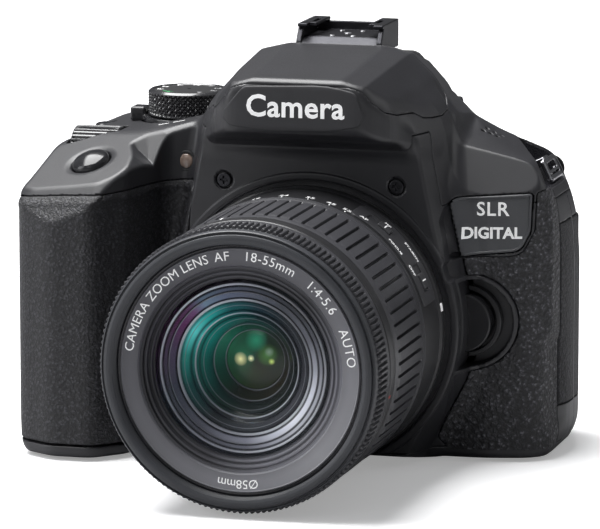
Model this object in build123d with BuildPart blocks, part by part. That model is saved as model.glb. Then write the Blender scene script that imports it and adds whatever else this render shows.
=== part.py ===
from build123d import *
import os
from math import cos, sin, radians

# Digital single-lens-reflex camera with its standard zoom lens, one STEP file per piece.
# Millimetres, +Z up, +X to the right seen from the front, -Y towards the subject.
# Origin: centre of the tripod socket on the base plane. The hand grip is on -X.

CUT = Mode.SUBTRACT
COMMON = Mode.INTERSECT

# ---------------------------------------------------------------- body
AXIS_Z = 33.4          # optical axis height above the base
FLANGE_Y = -22.0       # lens mount reference plane
SENSOR_Y = FLANGE_Y + 44.0
FRONT_Y = -6.0         # front face of the body beside the mount block
BLOCK_Y = -20.0        # front face of the mount block
NOSE_Y = -33.0         # front of the name plate nose
REAR_Y = 36.0          # rear face
BASE_T = 3.0           # bottom cover thickness
SPLIT_Z = 62.0         # seam between lower covers and top cover
SEAM_Y = 14.0          # seam between front and rear covers
WALL = 2.5
REAR_WALL_Y = 31.0     # inside of the rear cover
SCREEN_WALL_Y = 33.2   # floor of the screen recess
HUMP_TOP = 97.5
RUBBER_T = 1.2
LEATHER_T = 0.8
FIT = 0.15             # radial clearance round buttons and pins
SPAN_X = (-80, 60)     # wider than the body, for trimming boxes
CORNER_R = 5           # rounding of the plan outline

# plan outline of the body (X, Y)
PLAN = [
    (-30.5, FRONT_Y), (-38, -9), (-43.5, -23), (-50, -32), (-60, -32.2), (-68.5, -27.5),
    (-74, -16), (-74, 8), (-73, 24), (-68.5, 32), (-60, REAR_Y), (53, REAR_Y), (57, 32),
    (57, 3), (51.5, FRONT_Y)]

# front elevation of the mount block (X, Z), tangent to the mount circle
BLOCK = [
    (-25, 79), (25, 79), (29, 58), (34.3, 38), (34.3, 28.8), (28, 10), (20, 0), (-20, 0),
    (-28, 10), (-34.3, 28.8), (-34.3, 38), (-29, 58)]

# front elevation of the hump (X, Z)
HUMP = [
    (-34, 74), (-32, 81), (-27, 85.5), (-23, 91), (-17.5, 95.5), (-12, HUMP_TOP),
    (12, HUMP_TOP), (17.5, 95.5), (23, 91), (27, 85.5), (32, 81), (34, 74)]
# side elevation of the hump (Y, Z): nose, roof and rear
HUMP_SIDE = [
    (NOSE_Y, 81.5), (NOSE_Y, 92), (-29, 94), (2, HUMP_TOP), (30, HUMP_TOP), (REAR_Y, 94),
    (REAR_Y, 60), (FRONT_Y, 60), (FRONT_Y, 79), (BLOCK_Y, 79), (-26, 80)]
# plan of the hump (X, Y): nose narrower than the rear
HUMP_PLAN = [
    (-19.5, NOSE_Y), (19.5, NOSE_Y), (24.5, -27.5), (28.5, -14), (32, 0), (34, REAR_Y),
    (-34, REAR_Y), (-32, 0), (-28.5, -14), (-24.5, -27.5)]

# outside and inside of the shoulders, front elevation (X, Z)
SHOULDER = [
    (-80, 0), (-80, 66), (-73, 71), (-66, 73.6), (-46, 75), (-29, 79), (-26, 82), (26, 82),
    (30, 80.5), (37, 76), (50, 71.5), (56, 67.5), (60, 62), (60, 0)]
SHOULDER_IN = [
    (-80, 0), (-80, 62), (-72, 67.5), (-66, 70.6), (-46, 72), (-29, 75.5), (-26, 79), (26, 79),
    (30, 76.5), (37, 72.5), (50, 68), (55, 64), (58, 60), (58, 0)]

# seam surface of the pop-up flash head, side elevation (Y, Z)
FLASH_REAR_Y = 1.0
FLASH_SIDE = [
    (-40, 92.2), (-31, 92.2), (-12, 83.4), (FLASH_REAR_Y, 83.4), (FLASH_REAR_Y, 110), (-40, 110)]
FLASH_HINGE = (FLASH_REAR_Y, 96.0)   # Y, Z

# ---------------------------------------------------------------- controls and fittings
# tilted face that carries the shutter button: z = FACE_Z + slope_y (y + 30) + slope_x (x + 46.5)
FACE_Z, FACE_SLOPE_Y, FACE_SLOPE_X = 66.3, 0.41, 0.22
BUTTON_X, BUTTON_Y = -55.0, -17.0
BUTTON_Z = FACE_Z + FACE_SLOPE_Y * (BUTTON_Y + 30) + FACE_SLOPE_X * (BUTTON_X + 46.5)
FACE_PLANE = Plane(origin=(BUTTON_X, BUTTON_Y, BUTTON_Z), x_dir=(1, 0, FACE_SLOPE_X),
                   z_dir=Vector(-FACE_SLOPE_X, -FACE_SLOPE_Y, 1).normalized())

MODE_XY = (-40.0, 16.0)      # mode dial centre
MODE_R = 10.0
DIAL_X, DIAL_YZ = -58.0, (0.0, 69.3)
DIAL_R, DIAL_HALF_WIDTH, DIAL_GAP = 6.4, 5.8, 0.5
ISO_XY, ISO_R = (-61.0, 15.0), 2.6
CONTROL_XZ = (-44.0, 33.0)   # rear control dial centre
KNOB_XZ, KNOB_STEM_R = (-20.6, 83.0), 1.5   # dioptre knob

# rear buttons: name -> (X, Z)
REAR_BUTTON_R = 2.4
ROW_Z = 67.6                 # row above the seam
ROW_WALL_Y = 33.5            # wall behind that row
UPPER_BUTTONS = dict(
    menu_button=(46.0, ROW_Z), info_button=(36.0, ROW_Z), live_view_button=(-27.0, ROW_Z),
    af_on_button=(-38.0, ROW_Z), ae_lock_button=(-49.0, ROW_Z))
LOWER_BUTTONS = dict(playback_button=(-36.0, 54.0), delete_button=(-36.0, 12.0))

BATTERY_X, BATTERY_Y, BATTERY_Z = (-66.0, -50.0), (-22.0, 12.0), (5.0, 42.0)
HATCH_X, HATCH_Y = (-67.0, -49.0), (-23.0, 13.0)   # battery door

LCD_X, LCD_Z = (-24.0, 49.2), (6.0, 61.0)
LCD_Y = (33.4, 38.0)         # front and rear of the screen panel and its hinge
LCD_RIM = 0.4                # gap between panel and recess
LCD_HINGE_X = (49.6, 55.0)
GLASS_X, GLASS_Z = (-19.4, 44.6), (12.0, 55.4)
GLASS_Y = 37.3               # front of the glass

EYE_X, EYE_Z = (-11.0, 11.0), (78.5, 90.5)   # eyepiece opening
MIC_DOOR_Y, HDMI_DOOR_Y = (4.3, 12.8), (15.3, 29.0)
DOOR_Z = (12.0, 56.0)

SCREWS = [(-21.0, 66.9), (21.0, 66.9)]                                   # front, (X, Z)
BASE_SCREWS = [(-30.0, 20.0), (46.0, 26.0), (46.0, -0.5), (-40.0, -14.0)]  # base, (X, Y)
SCREW_STEM_R = 0.9
SOCKET_R, SOCKET_FLANGE_R = 5.0, 7.5         # tripod socket

# strap lugs: hook outline (X, Z) and centre of the cross pin (X, Z)
LUG_RIGHT = [
    (48.9, 71.0), (51.2, 72.4), (56.6, 69.0), (57.2, 67.0), (54.6, 66.6), (54.8, 68.3),
    (51.0, 70.3), (48.5, 69.2), (48.5, 71.0)]
LUG_LEFT = [
    (-69.6, 69.2), (-71.5, 70.6), (-73.2, 69.0), (-73.0, 66.6), (-74.2, 66.6), (-74.0, 69.6),
    (-72.0, 72.4), (-69.6, 71.4)]
LUGS = [(LUG_RIGHT, (55.7, 68.0)), (LUG_LEFT, (-73.5, 68.6))]
LUG_Y, LUG_T = (12.0, 19.0), 2.0

# ---------------------------------------------------------------- mount and lens
LENS_R = 33.25
LENS_FRONT = -83.8
MOUNT_RECESS_R = LENS_R + 0.9
MOUNT_SEAT_Y = -19.0
THROAT_R = 27.2
TAB_ANGLES = (30, 150, 270)  # middles of the bayonet tabs
PIN_X, PIN_R = 30.2, 1.1     # lens lock pin
RELEASE_X = 36.0             # centre of the round recess for the release button
RELEASE_BUTTON_X, RELEASE_BUTTON_R = 34.6, 7.0
BARREL_REAR_Y = -26.5        # start of the hollow part of the fixed barrel
SWITCH_SLOT_Y = (-36.0, -29.5)
SWITCH_Y = (-35.9, -29.6)
GLASS_R = 22.5               # front glass

# internal pivots (Y, Z)
MIRROR_PIVOT = (10.5, 46.8)
SUB_PIVOT = (3.55, 36.65)


# ---------------------------------------------------------------- helpers
# All add to, cut or intersect the part under construction; arguments run low to high.
def at_y(y):
    # plane at the given Y; extrusions from it run towards -Y
    return Plane.XZ.offset(-y)


def prism(points, plane, length, mode=Mode.ADD, rounding=0.0):
    with BuildSketch(plane) as profile:
        with BuildLine():
            Polyline(*points, close=True)
        make_face()
        if rounding:
            fillet(profile.vertices(), rounding)
    extrude(profile.sketch, amount=length, mode=mode)


def along_y(points, y_min, y_max, mode=Mode.ADD, rounding=0.0):
    prism(points, at_y(y_max), y_max - y_min, mode, rounding)


def along_x(points, x_min, x_max, mode=Mode.ADD):
    prism(points, Plane.YZ.offset(x_min), x_max - x_min, mode)


def body_plan(inset, z_min, z_max, mode=Mode.ADD):
    with BuildSketch(Plane.XY.offset(z_min)) as outline:
        with BuildLine():
            Polyline(*PLAN, close=True)
        make_face()
        fillet(outline.vertices(), CORNER_R)
        if inset:
            offset(amount=-inset, mode=Mode.REPLACE)
    extrude(outline.sketch, amount=z_max - z_min, mode=mode)


def box(x_min, x_max, y_min, y_max, z_min, z_max, mode=Mode.ADD):
    with Locations(((x_min + x_max) / 2, (y_min + y_max) / 2, (z_min + z_max) / 2)):
        Box(x_max - x_min, y_max - y_min, z_max - z_min, mode=mode)


def round_bar(plane, centre, radius, length, mode=Mode.ADD, hole=0.0):
    with BuildSketch(plane) as profile:
        with Locations(centre):
            Circle(radius)
            if hole:
                Circle(hole, mode=CUT)
    extrude(profile.sketch, amount=length, mode=mode)


def disc_x(y, z, radius, x_min, x_max, mode=Mode.ADD):
    round_bar(Plane.YZ.offset(x_min), (y, z), radius, x_max - x_min, mode)


def disc_y(x, z, radius, y_min, y_max, mode=Mode.ADD):
    round_bar(at_y(y_max), (x, z), radius, y_max - y_min, mode)


def disc_z(x, y, radius, z_min, z_max, mode=Mode.ADD):
    round_bar(Plane.XY.offset(z_min), (x, y), radius, z_max - z_min, mode)


def ring_y(x, z, outer, inner, y_min, y_max):
    round_bar(at_y(y_max), (x, z), outer, y_max - y_min, hole=inner)


def axis_disc(radius, y_min, y_max, mode=Mode.ADD):
    disc_y(0, AXIS_Z, radius, y_min, y_max, mode)


def axis_ring(outer, inner, y_min, y_max):
    ring_y(0, AXIS_Z, outer, inner, y_min, y_max)


def axis_sector(inner, outer, start, end, y_min, y_max, mode=Mode.ADD):
    # annular sector about the optical axis, angles from +X towards +Z
    reach = 90.0
    steps = 6
    with BuildSketch(at_y(y_max)) as sector:
        with Locations((0, AXIS_Z)):
            Circle(outer)
            Circle(inner, mode=CUT)
        with BuildLine():
            points = [(0, AXIS_Z)]
            for i in range(steps + 1):
                angle = radians(start + (end - start) * i / steps)
                points.append((reach * cos(angle), AXIS_Z + reach * sin(angle)))
            Polyline(*points, close=True)
        make_face(mode=COMMON)
    extrude(sector.sketch, amount=y_max - y_min, mode=mode)


def cut_notches(plane, centre, radius, count, width, height, length):
    with BuildSketch(plane) as notches:
        with Locations(centre):
            with PolarLocations(radius, count):
                Rectangle(width, height)
    extrude(notches.sketch, amount=length, mode=CUT)


def cut_above_face(depth):
    # remove what lies above the tilted button face, sunk by depth
    with BuildSketch(FACE_PLANE.offset(-depth)) as region:
        with Locations((-4, -20)):
            Rectangle(60, 66)
    extrude(region.sketch, amount=30, mode=CUT)


def release_dee(margin, y_min, y_max, mode=Mode.ADD):
    # half disc of the lens release button, flat side towards the lens
    half = 15
    with BuildSketch(at_y(y_max)) as dee:
        with Locations((RELEASE_BUTTON_X, AXIS_Z)):
            Circle(RELEASE_BUTTON_R + margin)
        with Locations((RELEASE_BUTTON_X - margin - half, AXIS_Z)):
            Rectangle(2 * half, 2 * half, mode=CUT)
    extrude(dee.sketch, amount=y_max - y_min, mode=mode)


def cut_lock_pin_bore():
    disc_y(PIN_X, AXIS_Z, PIN_R + FIT, -30, 0, CUT)


def cut_door_seat(door_y):
    # shallow seat for a side door, then the opening behind it
    for x_min, grow in ((55.2, 0.1), (50, -1)):
        box(x_min, 60, door_y[0] - grow, door_y[1] + grow,
            DOOR_Z[0] - grow, DOOR_Z[1] + grow, CUT)


def cut_screen_recess(z_min, z_max):
    box(LCD_X[0] - LCD_RIM, LCD_HINGE_X[1] + 0.2, SCREEN_WALL_Y, 50, z_min, z_max, CUT)


# ---------------------------------------------------------------- skins
with BuildPart() as grip_rubber:
    grip_z = (3.4, 63.5)
    body_plan(0, *grip_z)
    body_plan(RUBBER_T, *grip_z, CUT)
    box(-80, -30.6, -40, 13.6, *grip_z, COMMON)

with BuildPart() as side_rubber:
    side_z = (4, 49.6)
    body_plan(0, *side_z)
    body_plan(LEATHER_T, *side_z, CUT)
    box(28.7, 60, -10, 4.0, *side_z, COMMON)
    disc_y(RELEASE_X, AXIS_Z, 11.6, -12, 10, CUT)
    along_y(BLOCK, -12, -2, CUT)

with BuildPart() as thumb_rubber:
    along_y([(-59.5, 49.5), (-44, 49.5), (-44, 60.5), (-59.5, 60.5)],
            REAR_Y, REAR_Y + RUBBER_T, rounding=2.0)

# ---------------------------------------------------------------- construction solids
# inside space, cut from the front, rear and top covers
with BuildPart() as cavity:
    body_plan(WALL, BASE_T, 80)
    along_y(SHOULDER_IN, -40, 40, COMMON)
    cut_above_face(WALL)
    box(*SPAN_X, REAR_WALL_Y, 40, BASE_T, SPLIT_Z + 2, CUT)
    box(53.0, 60, -10, 40, BASE_T, SPLIT_Z, CUT)
    box(-24, 24, -17, 0, 8, 79.6)

# full hump, shared by the top cover and the flash head
with BuildPart() as hump_outer:
    along_y(HUMP, -40, 40)
    along_x(HUMP_SIDE, -40, 40, COMMON)
    prism(HUMP_PLAN, Plane.XY.offset(50), 60, COMMON)

# ---------------------------------------------------------------- fixed covers
with BuildPart() as bottom_cover:
    body_plan(0, 0, BASE_T)
    along_y([(-20, 0), (20, 0), (22.5, BASE_T), (-22.5, BASE_T)], BLOCK_Y, 0)
    axis_disc(MOUNT_RECESS_R, -30, MOUNT_SEAT_Y, CUT)
    box(HATCH_X[0] - 0.2, HATCH_X[1], HATCH_Y[0] - 0.2, HATCH_Y[1] + 0.2, -1, BASE_T + 1, CUT)
    disc_z(0, 0, SOCKET_R, -1, 5, CUT)
    for x, y in BASE_SCREWS:
        disc_z(x, y, 1.9, -1, 1.2, CUT)
        disc_z(x, y, SCREW_STEM_R, 1.2, BASE_T + 1, CUT)

with BuildPart() as front_cover:
    body_plan(0, BASE_T, SPLIT_Z)
    box(*SPAN_X, -40, SEAM_Y, BASE_T, SPLIT_Z, COMMON)
    along_y(BLOCK, BLOCK_Y, -3)
    box(*SPAN_X, -40, 40, -5, BASE_T, CUT)
    box(-40, 40, FRONT_Y, 0, SPLIT_Z, 90, CUT)
    add(cavity.part, mode=CUT)
    add(grip_rubber.part, mode=CUT)
    add(side_rubber.part, mode=CUT)
    # mount recess and throat
    axis_disc(MOUNT_RECESS_R, -21, MOUNT_SEAT_Y, CUT)
    axis_disc(THROAT_R, -30, -16, CUT)
    # lens-release recess outside the mount circle
    with BuildSketch(at_y(-4.5)) as release_recess:
        with Locations((RELEASE_X, AXIS_Z)):
            Circle(10.4)
        with Locations((0, AXIS_Z)):
            Circle(LENS_R + 1.0, mode=CUT)
    extrude(release_recess.sketch, amount=20, mode=CUT)
    release_dee(FIT, -8, 2, CUT)
    cut_lock_pin_bore()
    disc_z(0, 0, SOCKET_FLANGE_R, BASE_T, 8.1, CUT)
    for x, z in SCREWS:
        disc_y(x, z, 2.0, -21, -18.8, CUT)
        disc_y(x, z, SCREW_STEM_R, -19, -14, CUT)
    cut_door_seat(MIC_DOOR_Y)

with BuildPart() as rear_cover:
    body_plan(0, BASE_T, SPLIT_Z)
    box(*SPAN_X, SEAM_Y, 50, BASE_T, SPLIT_Z, COMMON)
    add(cavity.part, mode=CUT)
    cut_screen_recess(LCD_Z[0] - LCD_RIM, SPLIT_Z + 1)
    # control dial seat
    disc_y(*CONTROL_XZ, 13.2, 34.0, 50, CUT)
    for x, z in LOWER_BUTTONS.values():
        disc_y(x, z, REAR_BUTTON_R + FIT, 30, 40, CUT)
    cut_door_seat(HDMI_DOOR_Y)

with BuildPart() as top_cover:
    body_plan(0, SPLIT_Z, 82)
    along_y(SHOULDER, -40, 40, COMMON)
    cut_above_face(0)
    add(hump_outer.part)
    # flash well: the roof under the flash head is set down
    along_x(FLASH_SIDE, -50, 50, CUT)
    disc_x(*FLASH_HINGE, 3.0, -40, 40, CUT)
    box(-40, 40, 0.5, 4.2, 92.5, 100, CUT)
    along_y([(-26, 79), (26, 79), (22.6, 85), (18.6, 89.2), (-18.6, 89.2), (-22.6, 85)],
            -16, FLASH_REAR_Y)
    along_y([(-23, 80), (23, 80), (21, 85), (18, 89.2), (-18, 89.2), (-21, 85)], -27, -16)
    # hollow: shoulders, then the front, rear and middle of the hump
    add(cavity.part, mode=CUT)
    box(-24, 24, -16.5, 0, 70, 79.5, CUT)
    along_y([(-26, 70), (26, 70), (26, 79), (20, 84), (16, 87), (-16, 87), (-20, 84), (-26, 79)],
            -16.5, 3, CUT)
    along_y([(-28, 70), (28, 70), (28, 80), (23, 86), (14, 93), (-14, 93), (-23, 86), (-28, 80)],
            6.5, 33.5, CUT)
    box(-16, 16, 2.0, 8, 70, 87, CUT)
    # keep clear of the front cover block
    box(-40, 40, -40, FRONT_Y, 50, 79, CUT)
    add(grip_rubber.part, mode=CUT)
    box(*EYE_X, 30, 40, *EYE_Z, CUT)
    # shutter button bore
    round_bar(FACE_PLANE.offset(-8), (0, 0), 4.9, 20, CUT)
    # main dial slot
    slot_half = DIAL_HALF_WIDTH + DIAL_GAP
    disc_x(*DIAL_YZ, DIAL_R + DIAL_GAP, DIAL_X - slot_half, DIAL_X + slot_half, CUT)
    # mode dial seat and spindle bore
    disc_z(*MODE_XY, 12.2, 76.0, 100, CUT)
    disc_z(*MODE_XY, 12.0, 70.5, 76.0)
    disc_z(*MODE_XY, 2.1, 60, 90, CUT)
    disc_z(*ISO_XY, ISO_R + FIT, 60, 90, CUT)
    # bores for the upper rear buttons, widened inside for their flanges
    for x, z in UPPER_BUTTONS.values():
        disc_y(x, z, REAR_BUTTON_R + FIT, 30, 40, CUT)
        disc_y(x, z, 3.4, REAR_WALL_Y, ROW_WALL_Y, CUT)
    # dioptre knob stem bore and head recess
    disc_y(*KNOB_XZ, KNOB_STEM_R + FIT, 30, 34.5, CUT)
    disc_y(*KNOB_XZ, 3.4, 34.5, 40, CUT)
    # clearance for the upper edge of the screen
    cut_screen_recess(SPLIT_Z - 1, SPLIT_Z + 0.3)
    # strap lug pockets
    for x_min, x_max in ((48.5, 60), (-80, -69.6)):
        box(x_min, x_max, *LUG_Y, 66.6, 80, CUT)

with BuildPart() as strap_lugs:
    for outline, pin in LUGS:
        along_y(outline, LUG_Y[0], LUG_Y[0] + LUG_T)
        along_y(outline, LUG_Y[1] - LUG_T, LUG_Y[1])
        disc_y(*pin, 0.8, 13.5, 17.5)

with BuildPart() as flash_head:
    add(hump_outer.part)
    along_x(FLASH_SIDE, -50, 50, COMMON)
    # running gap above the flash well
    along_x([(-30.9, 92.4), (-12, 83.8), (-6, 83.4), (FLASH_REAR_Y, 83.4), (FLASH_REAR_Y, 110),
             (-40, 110), (-40, 92.4)], -50, 50, COMMON)
    # hollow shell
    along_y([(-27.4, 70), (27.4, 70), (23.2, 85.4), (19.2, 90.0), (10, 93.2), (-10, 93.2),
             (-19.2, 90.0), (-23.2, 85.4)], -29.5, 2, CUT)
    # lamp housing and hinge barrel
    box(-14, 14, -26.3, -19, 90.6, 94.0)
    disc_x(*FLASH_HINGE, 1.5, -12, 12)

# ---------------------------------------------------------------- mount, mirror box and optics
with BuildPart() as mount_ring:
    axis_ring(32.8, THROAT_R, FLANGE_Y, MOUNT_SEAT_Y)
    for angle in TAB_ANGLES:
        axis_sector(25.15, 27.3, angle - 25, angle + 25, FLANGE_Y, -19.6)
    cut_lock_pin_bore()
    # trimmed flat just above the base plane
    box(-40, 40, -30, -10, -5, 0.3, CUT)

with BuildPart() as mirror_box:
    box(-20, 20, -16.8, 12.8, 13.4, 53.4)
    box(-15, 15, -20, 20, 17.4, 49.8, CUT)
    axis_disc(18.9, -20, -12, CUT)
    box(-14.5, 14.5, -15.0, 9.0, 45, 60, CUT)
    disc_x(*MIRROR_PIVOT, 0.8, -18, 18, CUT)

with BuildPart() as main_mirror:
    # plate at 45 degrees below a hinge pin across the box
    along_x([(9.9, 47.2), (10.6, 46.1), (-9.0, 26.5), (-9.9, 27.4)], -13.5, 13.5)
    disc_x(*MIRROR_PIVOT, 0.7, -17.9, 17.9)
    # ears that carry the sub mirror
    for x_min, x_max in ((-10.6, -9.5), (9.5, 10.6)):
        along_x([(2.7, 35.8), (4.4, 37.5), (3.0, 38.9), (1.3, 37.2)], x_min, x_max)
        disc_x(*SUB_PIVOT, 1.2, x_min, x_max)
    disc_x(*SUB_PIVOT, 0.6, -12, 12, CUT)

with BuildPart() as sub_mirror:
    along_x([(3.2, 36.3), (3.9, 37.0), (11.4, 29.5), (10.7, 28.8)], -9, 9)
    disc_x(*SUB_PIVOT, 0.5, -10.4, 10.4)

with BuildPart() as focusing_screen:
    box(-14.4, 14.4, -14.9, 8.9, 51.6, 53.4)

with BuildPart() as pentamirror:
    # side profile (Y, Z), then the roof profile (X, Z)
    along_x([(-15.8, 53.6), (12.5, 53.6), (12.5, 66.0), (18.5, 79.5), (12.0, 86.2), (3.0, 86.6),
             (-11.0, 82.0), (-15.8, 62.0)], -15.5, 15.5)
    along_y([(-16, 53), (16, 53), (16, 70), (0.5, 86.5), (-0.5, 86.5), (-16, 70)],
            -30, 30, COMMON)

with BuildPart() as eyepiece_lens:
    box(*EYE_X, 32.4, 35.2, *EYE_Z)

with BuildPart() as shutter_frame:
    box(-19, 19, 13.0, 16.4, 19.0, 64.4)
    # picture gate, then the curtain slot
    box(-13.0, 13.0, 12, 18, AXIS_Z - 9, AXIS_Z + 9, CUT)
    box(-15.2, 15.2, 14.2, 15.2, 22.6, 63.4, CUT)

with BuildPart() as shutter_curtain:
    box(-15.0, 15.0, 14.4, 15.0, 22.8, 43.6)

with BuildPart() as image_sensor:
    box(-15.5, 15.5, 20.4, SENSOR_Y, 21.5, 45.3)
    box(-19, 19, SENSOR_Y, 23.6, 17.5, 49.3)

# ---------------------------------------------------------------- other internals and fittings
with BuildPart() as main_board:
    board_rear_y = 26.6
    box(-30, 50.0, 25.0, board_rear_y, 6.0, 60.0)
    # three blocks on the rear of the board
    box(-10, 8, board_rear_y, 28.4, 28, 46)
    box(20, 34, board_rear_y, 28.0, 14, 28)
    box(18, 36, board_rear_y, 28.2, 38, 50)

with BuildPart() as battery:
    box(*BATTERY_X, *BATTERY_Y, *BATTERY_Z)
    fillet(battery.edges().filter_by(Axis.Z), 2.0)

with BuildPart() as tripod_socket:
    disc_z(0, 0, SOCKET_R, 0, BASE_T)
    disc_z(0, 0, SOCKET_FLANGE_R, BASE_T, 8.0)
    disc_z(0, 0, 2.55, -1, 5.5, CUT)

with BuildPart() as hot_shoe:
    shoe_half, shoe_rear_y, plate_top = 10.6, 23.5, 98.2
    box(-shoe_half, shoe_half, 5.4, shoe_rear_y, HUMP_TOP, plate_top)
    # side walls with inward lips
    for side in (-1, 1):
        wall_x = sorted((side * 9.3, side * shoe_half))
        lip_x = sorted((side * 6.4, side * shoe_half))
        box(*wall_x, 6.4, shoe_rear_y, plate_top, 101.6)
        box(*lip_x, 6.4, shoe_rear_y, 100.6, 101.9)
    box(-9.4, 9.4, 22.3, shoe_rear_y, plate_top, 100.2)

with BuildPart() as jack_block:
    for y_min, y_max in ((4.0, 13.9), (13.9, 24.8)):
        box(44.5, 52.9, y_min, y_max, *DOOR_Z)
    # two round sockets in front, two rectangular ones behind
    disc_x(8.5, 46.0, 1.75, 47, 60, CUT)
    disc_x(8.5, 26.0, 1.25, 47, 60, CUT)
    box(47, 60, 17.0, 20.2, 38.0, 50.0, CUT)
    box(47, 60, 17.2, 20.0, 18.0, 26.0, CUT)

with BuildPart() as body_screws:
    # each: head, stem, round drive hole
    for x, z in SCREWS:
        disc_y(x, z, 1.75, -20.0, -18.8)
        disc_y(x, z, SCREW_STEM_R, -18.8, -15.0)
        disc_y(x, z, 0.55, -20.5, -19.4, CUT)
    for x, y in BASE_SCREWS:
        disc_z(x, y, 1.7, 0.2, 1.2)
        disc_z(x, y, SCREW_STEM_R, 1.2, BASE_T)
        disc_z(x, y, 0.55, -0.5, 0.8, CUT)

# ---------------------------------------------------------------- controls on top
with BuildPart() as shutter_button:
    # cap and stem
    round_bar(FACE_PLANE.offset(-2.6), (0, 0), 4.75, 3.2)
    round_bar(FACE_PLANE.offset(-6.2), (0, 0), 2.0, 3.6)
    above_cap = tuple(FACE_PLANE.offset(6).origin)
    fillet(shutter_button.faces().sort_by_distance(above_cap)[0].edges(), 0.55)

with BuildPart() as main_dial:
    disc_x(*DIAL_YZ, DIAL_R, DIAL_X - DIAL_HALF_WIDTH, DIAL_X + DIAL_HALF_WIDTH)
    cut_notches(Plane.YZ.offset(DIAL_X - 7), DIAL_YZ, DIAL_R, 30, 0.7, 0.5, 14)

with BuildPart() as power_lever:
    lever_z = 76.1
    round_bar(Plane.XY.offset(lever_z), MODE_XY, 11.0, 1.6, hole=2.15)
    box(MODE_XY[0] - 13.4, MODE_XY[0] - 10.6, MODE_XY[1] - 2.0, MODE_XY[1] + 2.0, lever_z, 80.0)

with BuildPart() as mode_dial:
    disc_z(*MODE_XY, MODE_R, 77.9, 84.4)
    cut_notches(Plane.XY.offset(77), MODE_XY, MODE_R, 36, 0.5, 0.7, 10)
    # spindle below, shallow dish on top
    disc_z(*MODE_XY, 2.0, 72.0, 78.0)
    disc_z(*MODE_XY, 8.6, 84.0, 90, CUT)

with BuildPart() as iso_button:
    disc_z(*ISO_XY, ISO_R, 70.0, 75.2)
    disc_z(*ISO_XY, 3.4, 69.2, 70.1)


# ---------------------------------------------------------------- rear controls
def rear_button(x, z, wall_y):
    # button with a wider flange just inside the wall
    with BuildPart() as button:
        disc_y(x, z, REAR_BUTTON_R, wall_y - 1.0, REAR_Y + 0.9)
        disc_y(x, z, 3.1, wall_y - 1.2, wall_y - 0.1)
    return button


rear_buttons = {}
for buttons, wall_y in ((UPPER_BUTTONS, ROW_WALL_Y), (LOWER_BUTTONS, REAR_WALL_Y)):
    for name, (x, z) in buttons.items():
        rear_buttons[name] = rear_button(x, z, wall_y)

with BuildPart() as control_dial:
    ring_y(*CONTROL_XZ, 13.0, 9.3, 34.6, 38.0)
    cut_notches(at_y(39), CONTROL_XZ, 13.0, 40, 0.5, 0.6, 6)
with BuildPart() as cross_keys:
    ring_y(*CONTROL_XZ, 9.15, 5.0, 34.7, 37.2)
with BuildPart() as set_button:
    disc_y(*CONTROL_XZ, 4.8, 34.7, 37.4)

with BuildPart() as eyecup:
    along_y([(-17, 74.0), (17, 74.0), (17, 92.5), (13, 95.0), (-13, 95.0), (-17, 92.5)],
            REAR_Y, 44.2, rounding=2.5)
    along_y([(-12.2, 77.4), (12.2, 77.4), (12.2, 91.6), (-12.2, 91.6)], 30, 50, CUT, rounding=2.0)

with BuildPart() as diopter_knob:
    disc_y(*KNOB_XZ, 3.2, 34.6, 37.6)
    disc_y(*KNOB_XZ, KNOB_STEM_R, 31.5, 34.6)

with BuildPart() as lcd_hinge:
    box(*LCD_HINGE_X, *LCD_Y, 13.0, 55.0)
with BuildPart() as lcd_panel:
    box(*LCD_X, *LCD_Y, *LCD_Z)
    fillet(lcd_panel.edges().filter_by(Axis.Y), 1.8)
    # glass pocket, then a pivot stub reaching the hinge
    box(*GLASS_X, GLASS_Y, 40, *GLASS_Z, CUT)
    disc_x(35.7, 34.0, 1.2, 48.0, LCD_HINGE_X[0])
with BuildPart() as lcd_glass:
    box(*GLASS_X, GLASS_Y, 37.9, *GLASS_Z)


# ---------------------------------------------------------------- doors
def side_door(door_y):
    with BuildPart() as door:
        box(55.3, 57.0, *door_y, *DOOR_Z)
        fillet(door.edges().filter_by(Axis.X), 1.2)
    return door


with BuildPart() as battery_door:
    box(*HATCH_X, *HATCH_Y, 0.1, 2.7)
    box(-66.0, -60.0, -8.0, 2.0, -1, 1.4, CUT)
with BuildPart() as door_latch:
    box(-65.8, -62.4, -7.8, 1.8, 0.2, 1.4)
    box(-64.6, -63.6, -7.0, 1.0, -0.5, 0.6, CUT)

# ---------------------------------------------------------------- lens release
with BuildPart() as lens_release_button:
    release_dee(0, -10.5, -0.5)
with BuildPart() as lock_pin:
    disc_y(PIN_X, AXIS_Z, PIN_R, -23.2, -8.0)

# ---------------------------------------------------------------- lens
with BuildPart() as lens_mount:
    axis_ring(32.0, 21.5, -24.0, FLANGE_Y)
    axis_ring(24.9, 21.5, -23.0, -16.9)
    for angle in TAB_ANGLES:
        axis_sector(24.6, 26.7, angle - 24, angle + 24, -19.4, -17.4)
    # arc slot in the rear face, open to the lock pin
    axis_sector(28.8, 31.6, -62.5, 2.6, -23.6, -20, CUT)

with BuildPart() as fixed_barrel:
    axis_ring(LENS_R, 32.0, -24.0, FLANGE_Y - 0.1)
    axis_ring(LENS_R, 21.5, BARREL_REAR_Y, -24.0)
    axis_ring(LENS_R, 28.3, -40.0, BARREL_REAR_Y)
    axis_ring(26.0, 25.0, -62.0, BARREL_REAR_Y)
    # switch plate flush with the barrel, then the two switch slots
    axis_sector(32.5, LENS_R, 14, 66, -39.0, BARREL_REAR_Y)
    for start, end in ((46.5, 58.5), (20.5, 32.5)):
        axis_sector(31.0, 40, start, end, *SWITCH_SLOT_Y, CUT)

with BuildPart() as af_switch:
    axis_sector(31.1, 33.2, 47.5, 53.0, *SWITCH_Y)
with BuildPart() as stabilizer_switch:
    axis_sector(31.1, 33.2, 21.5, 27.0, *SWITCH_Y)

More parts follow.
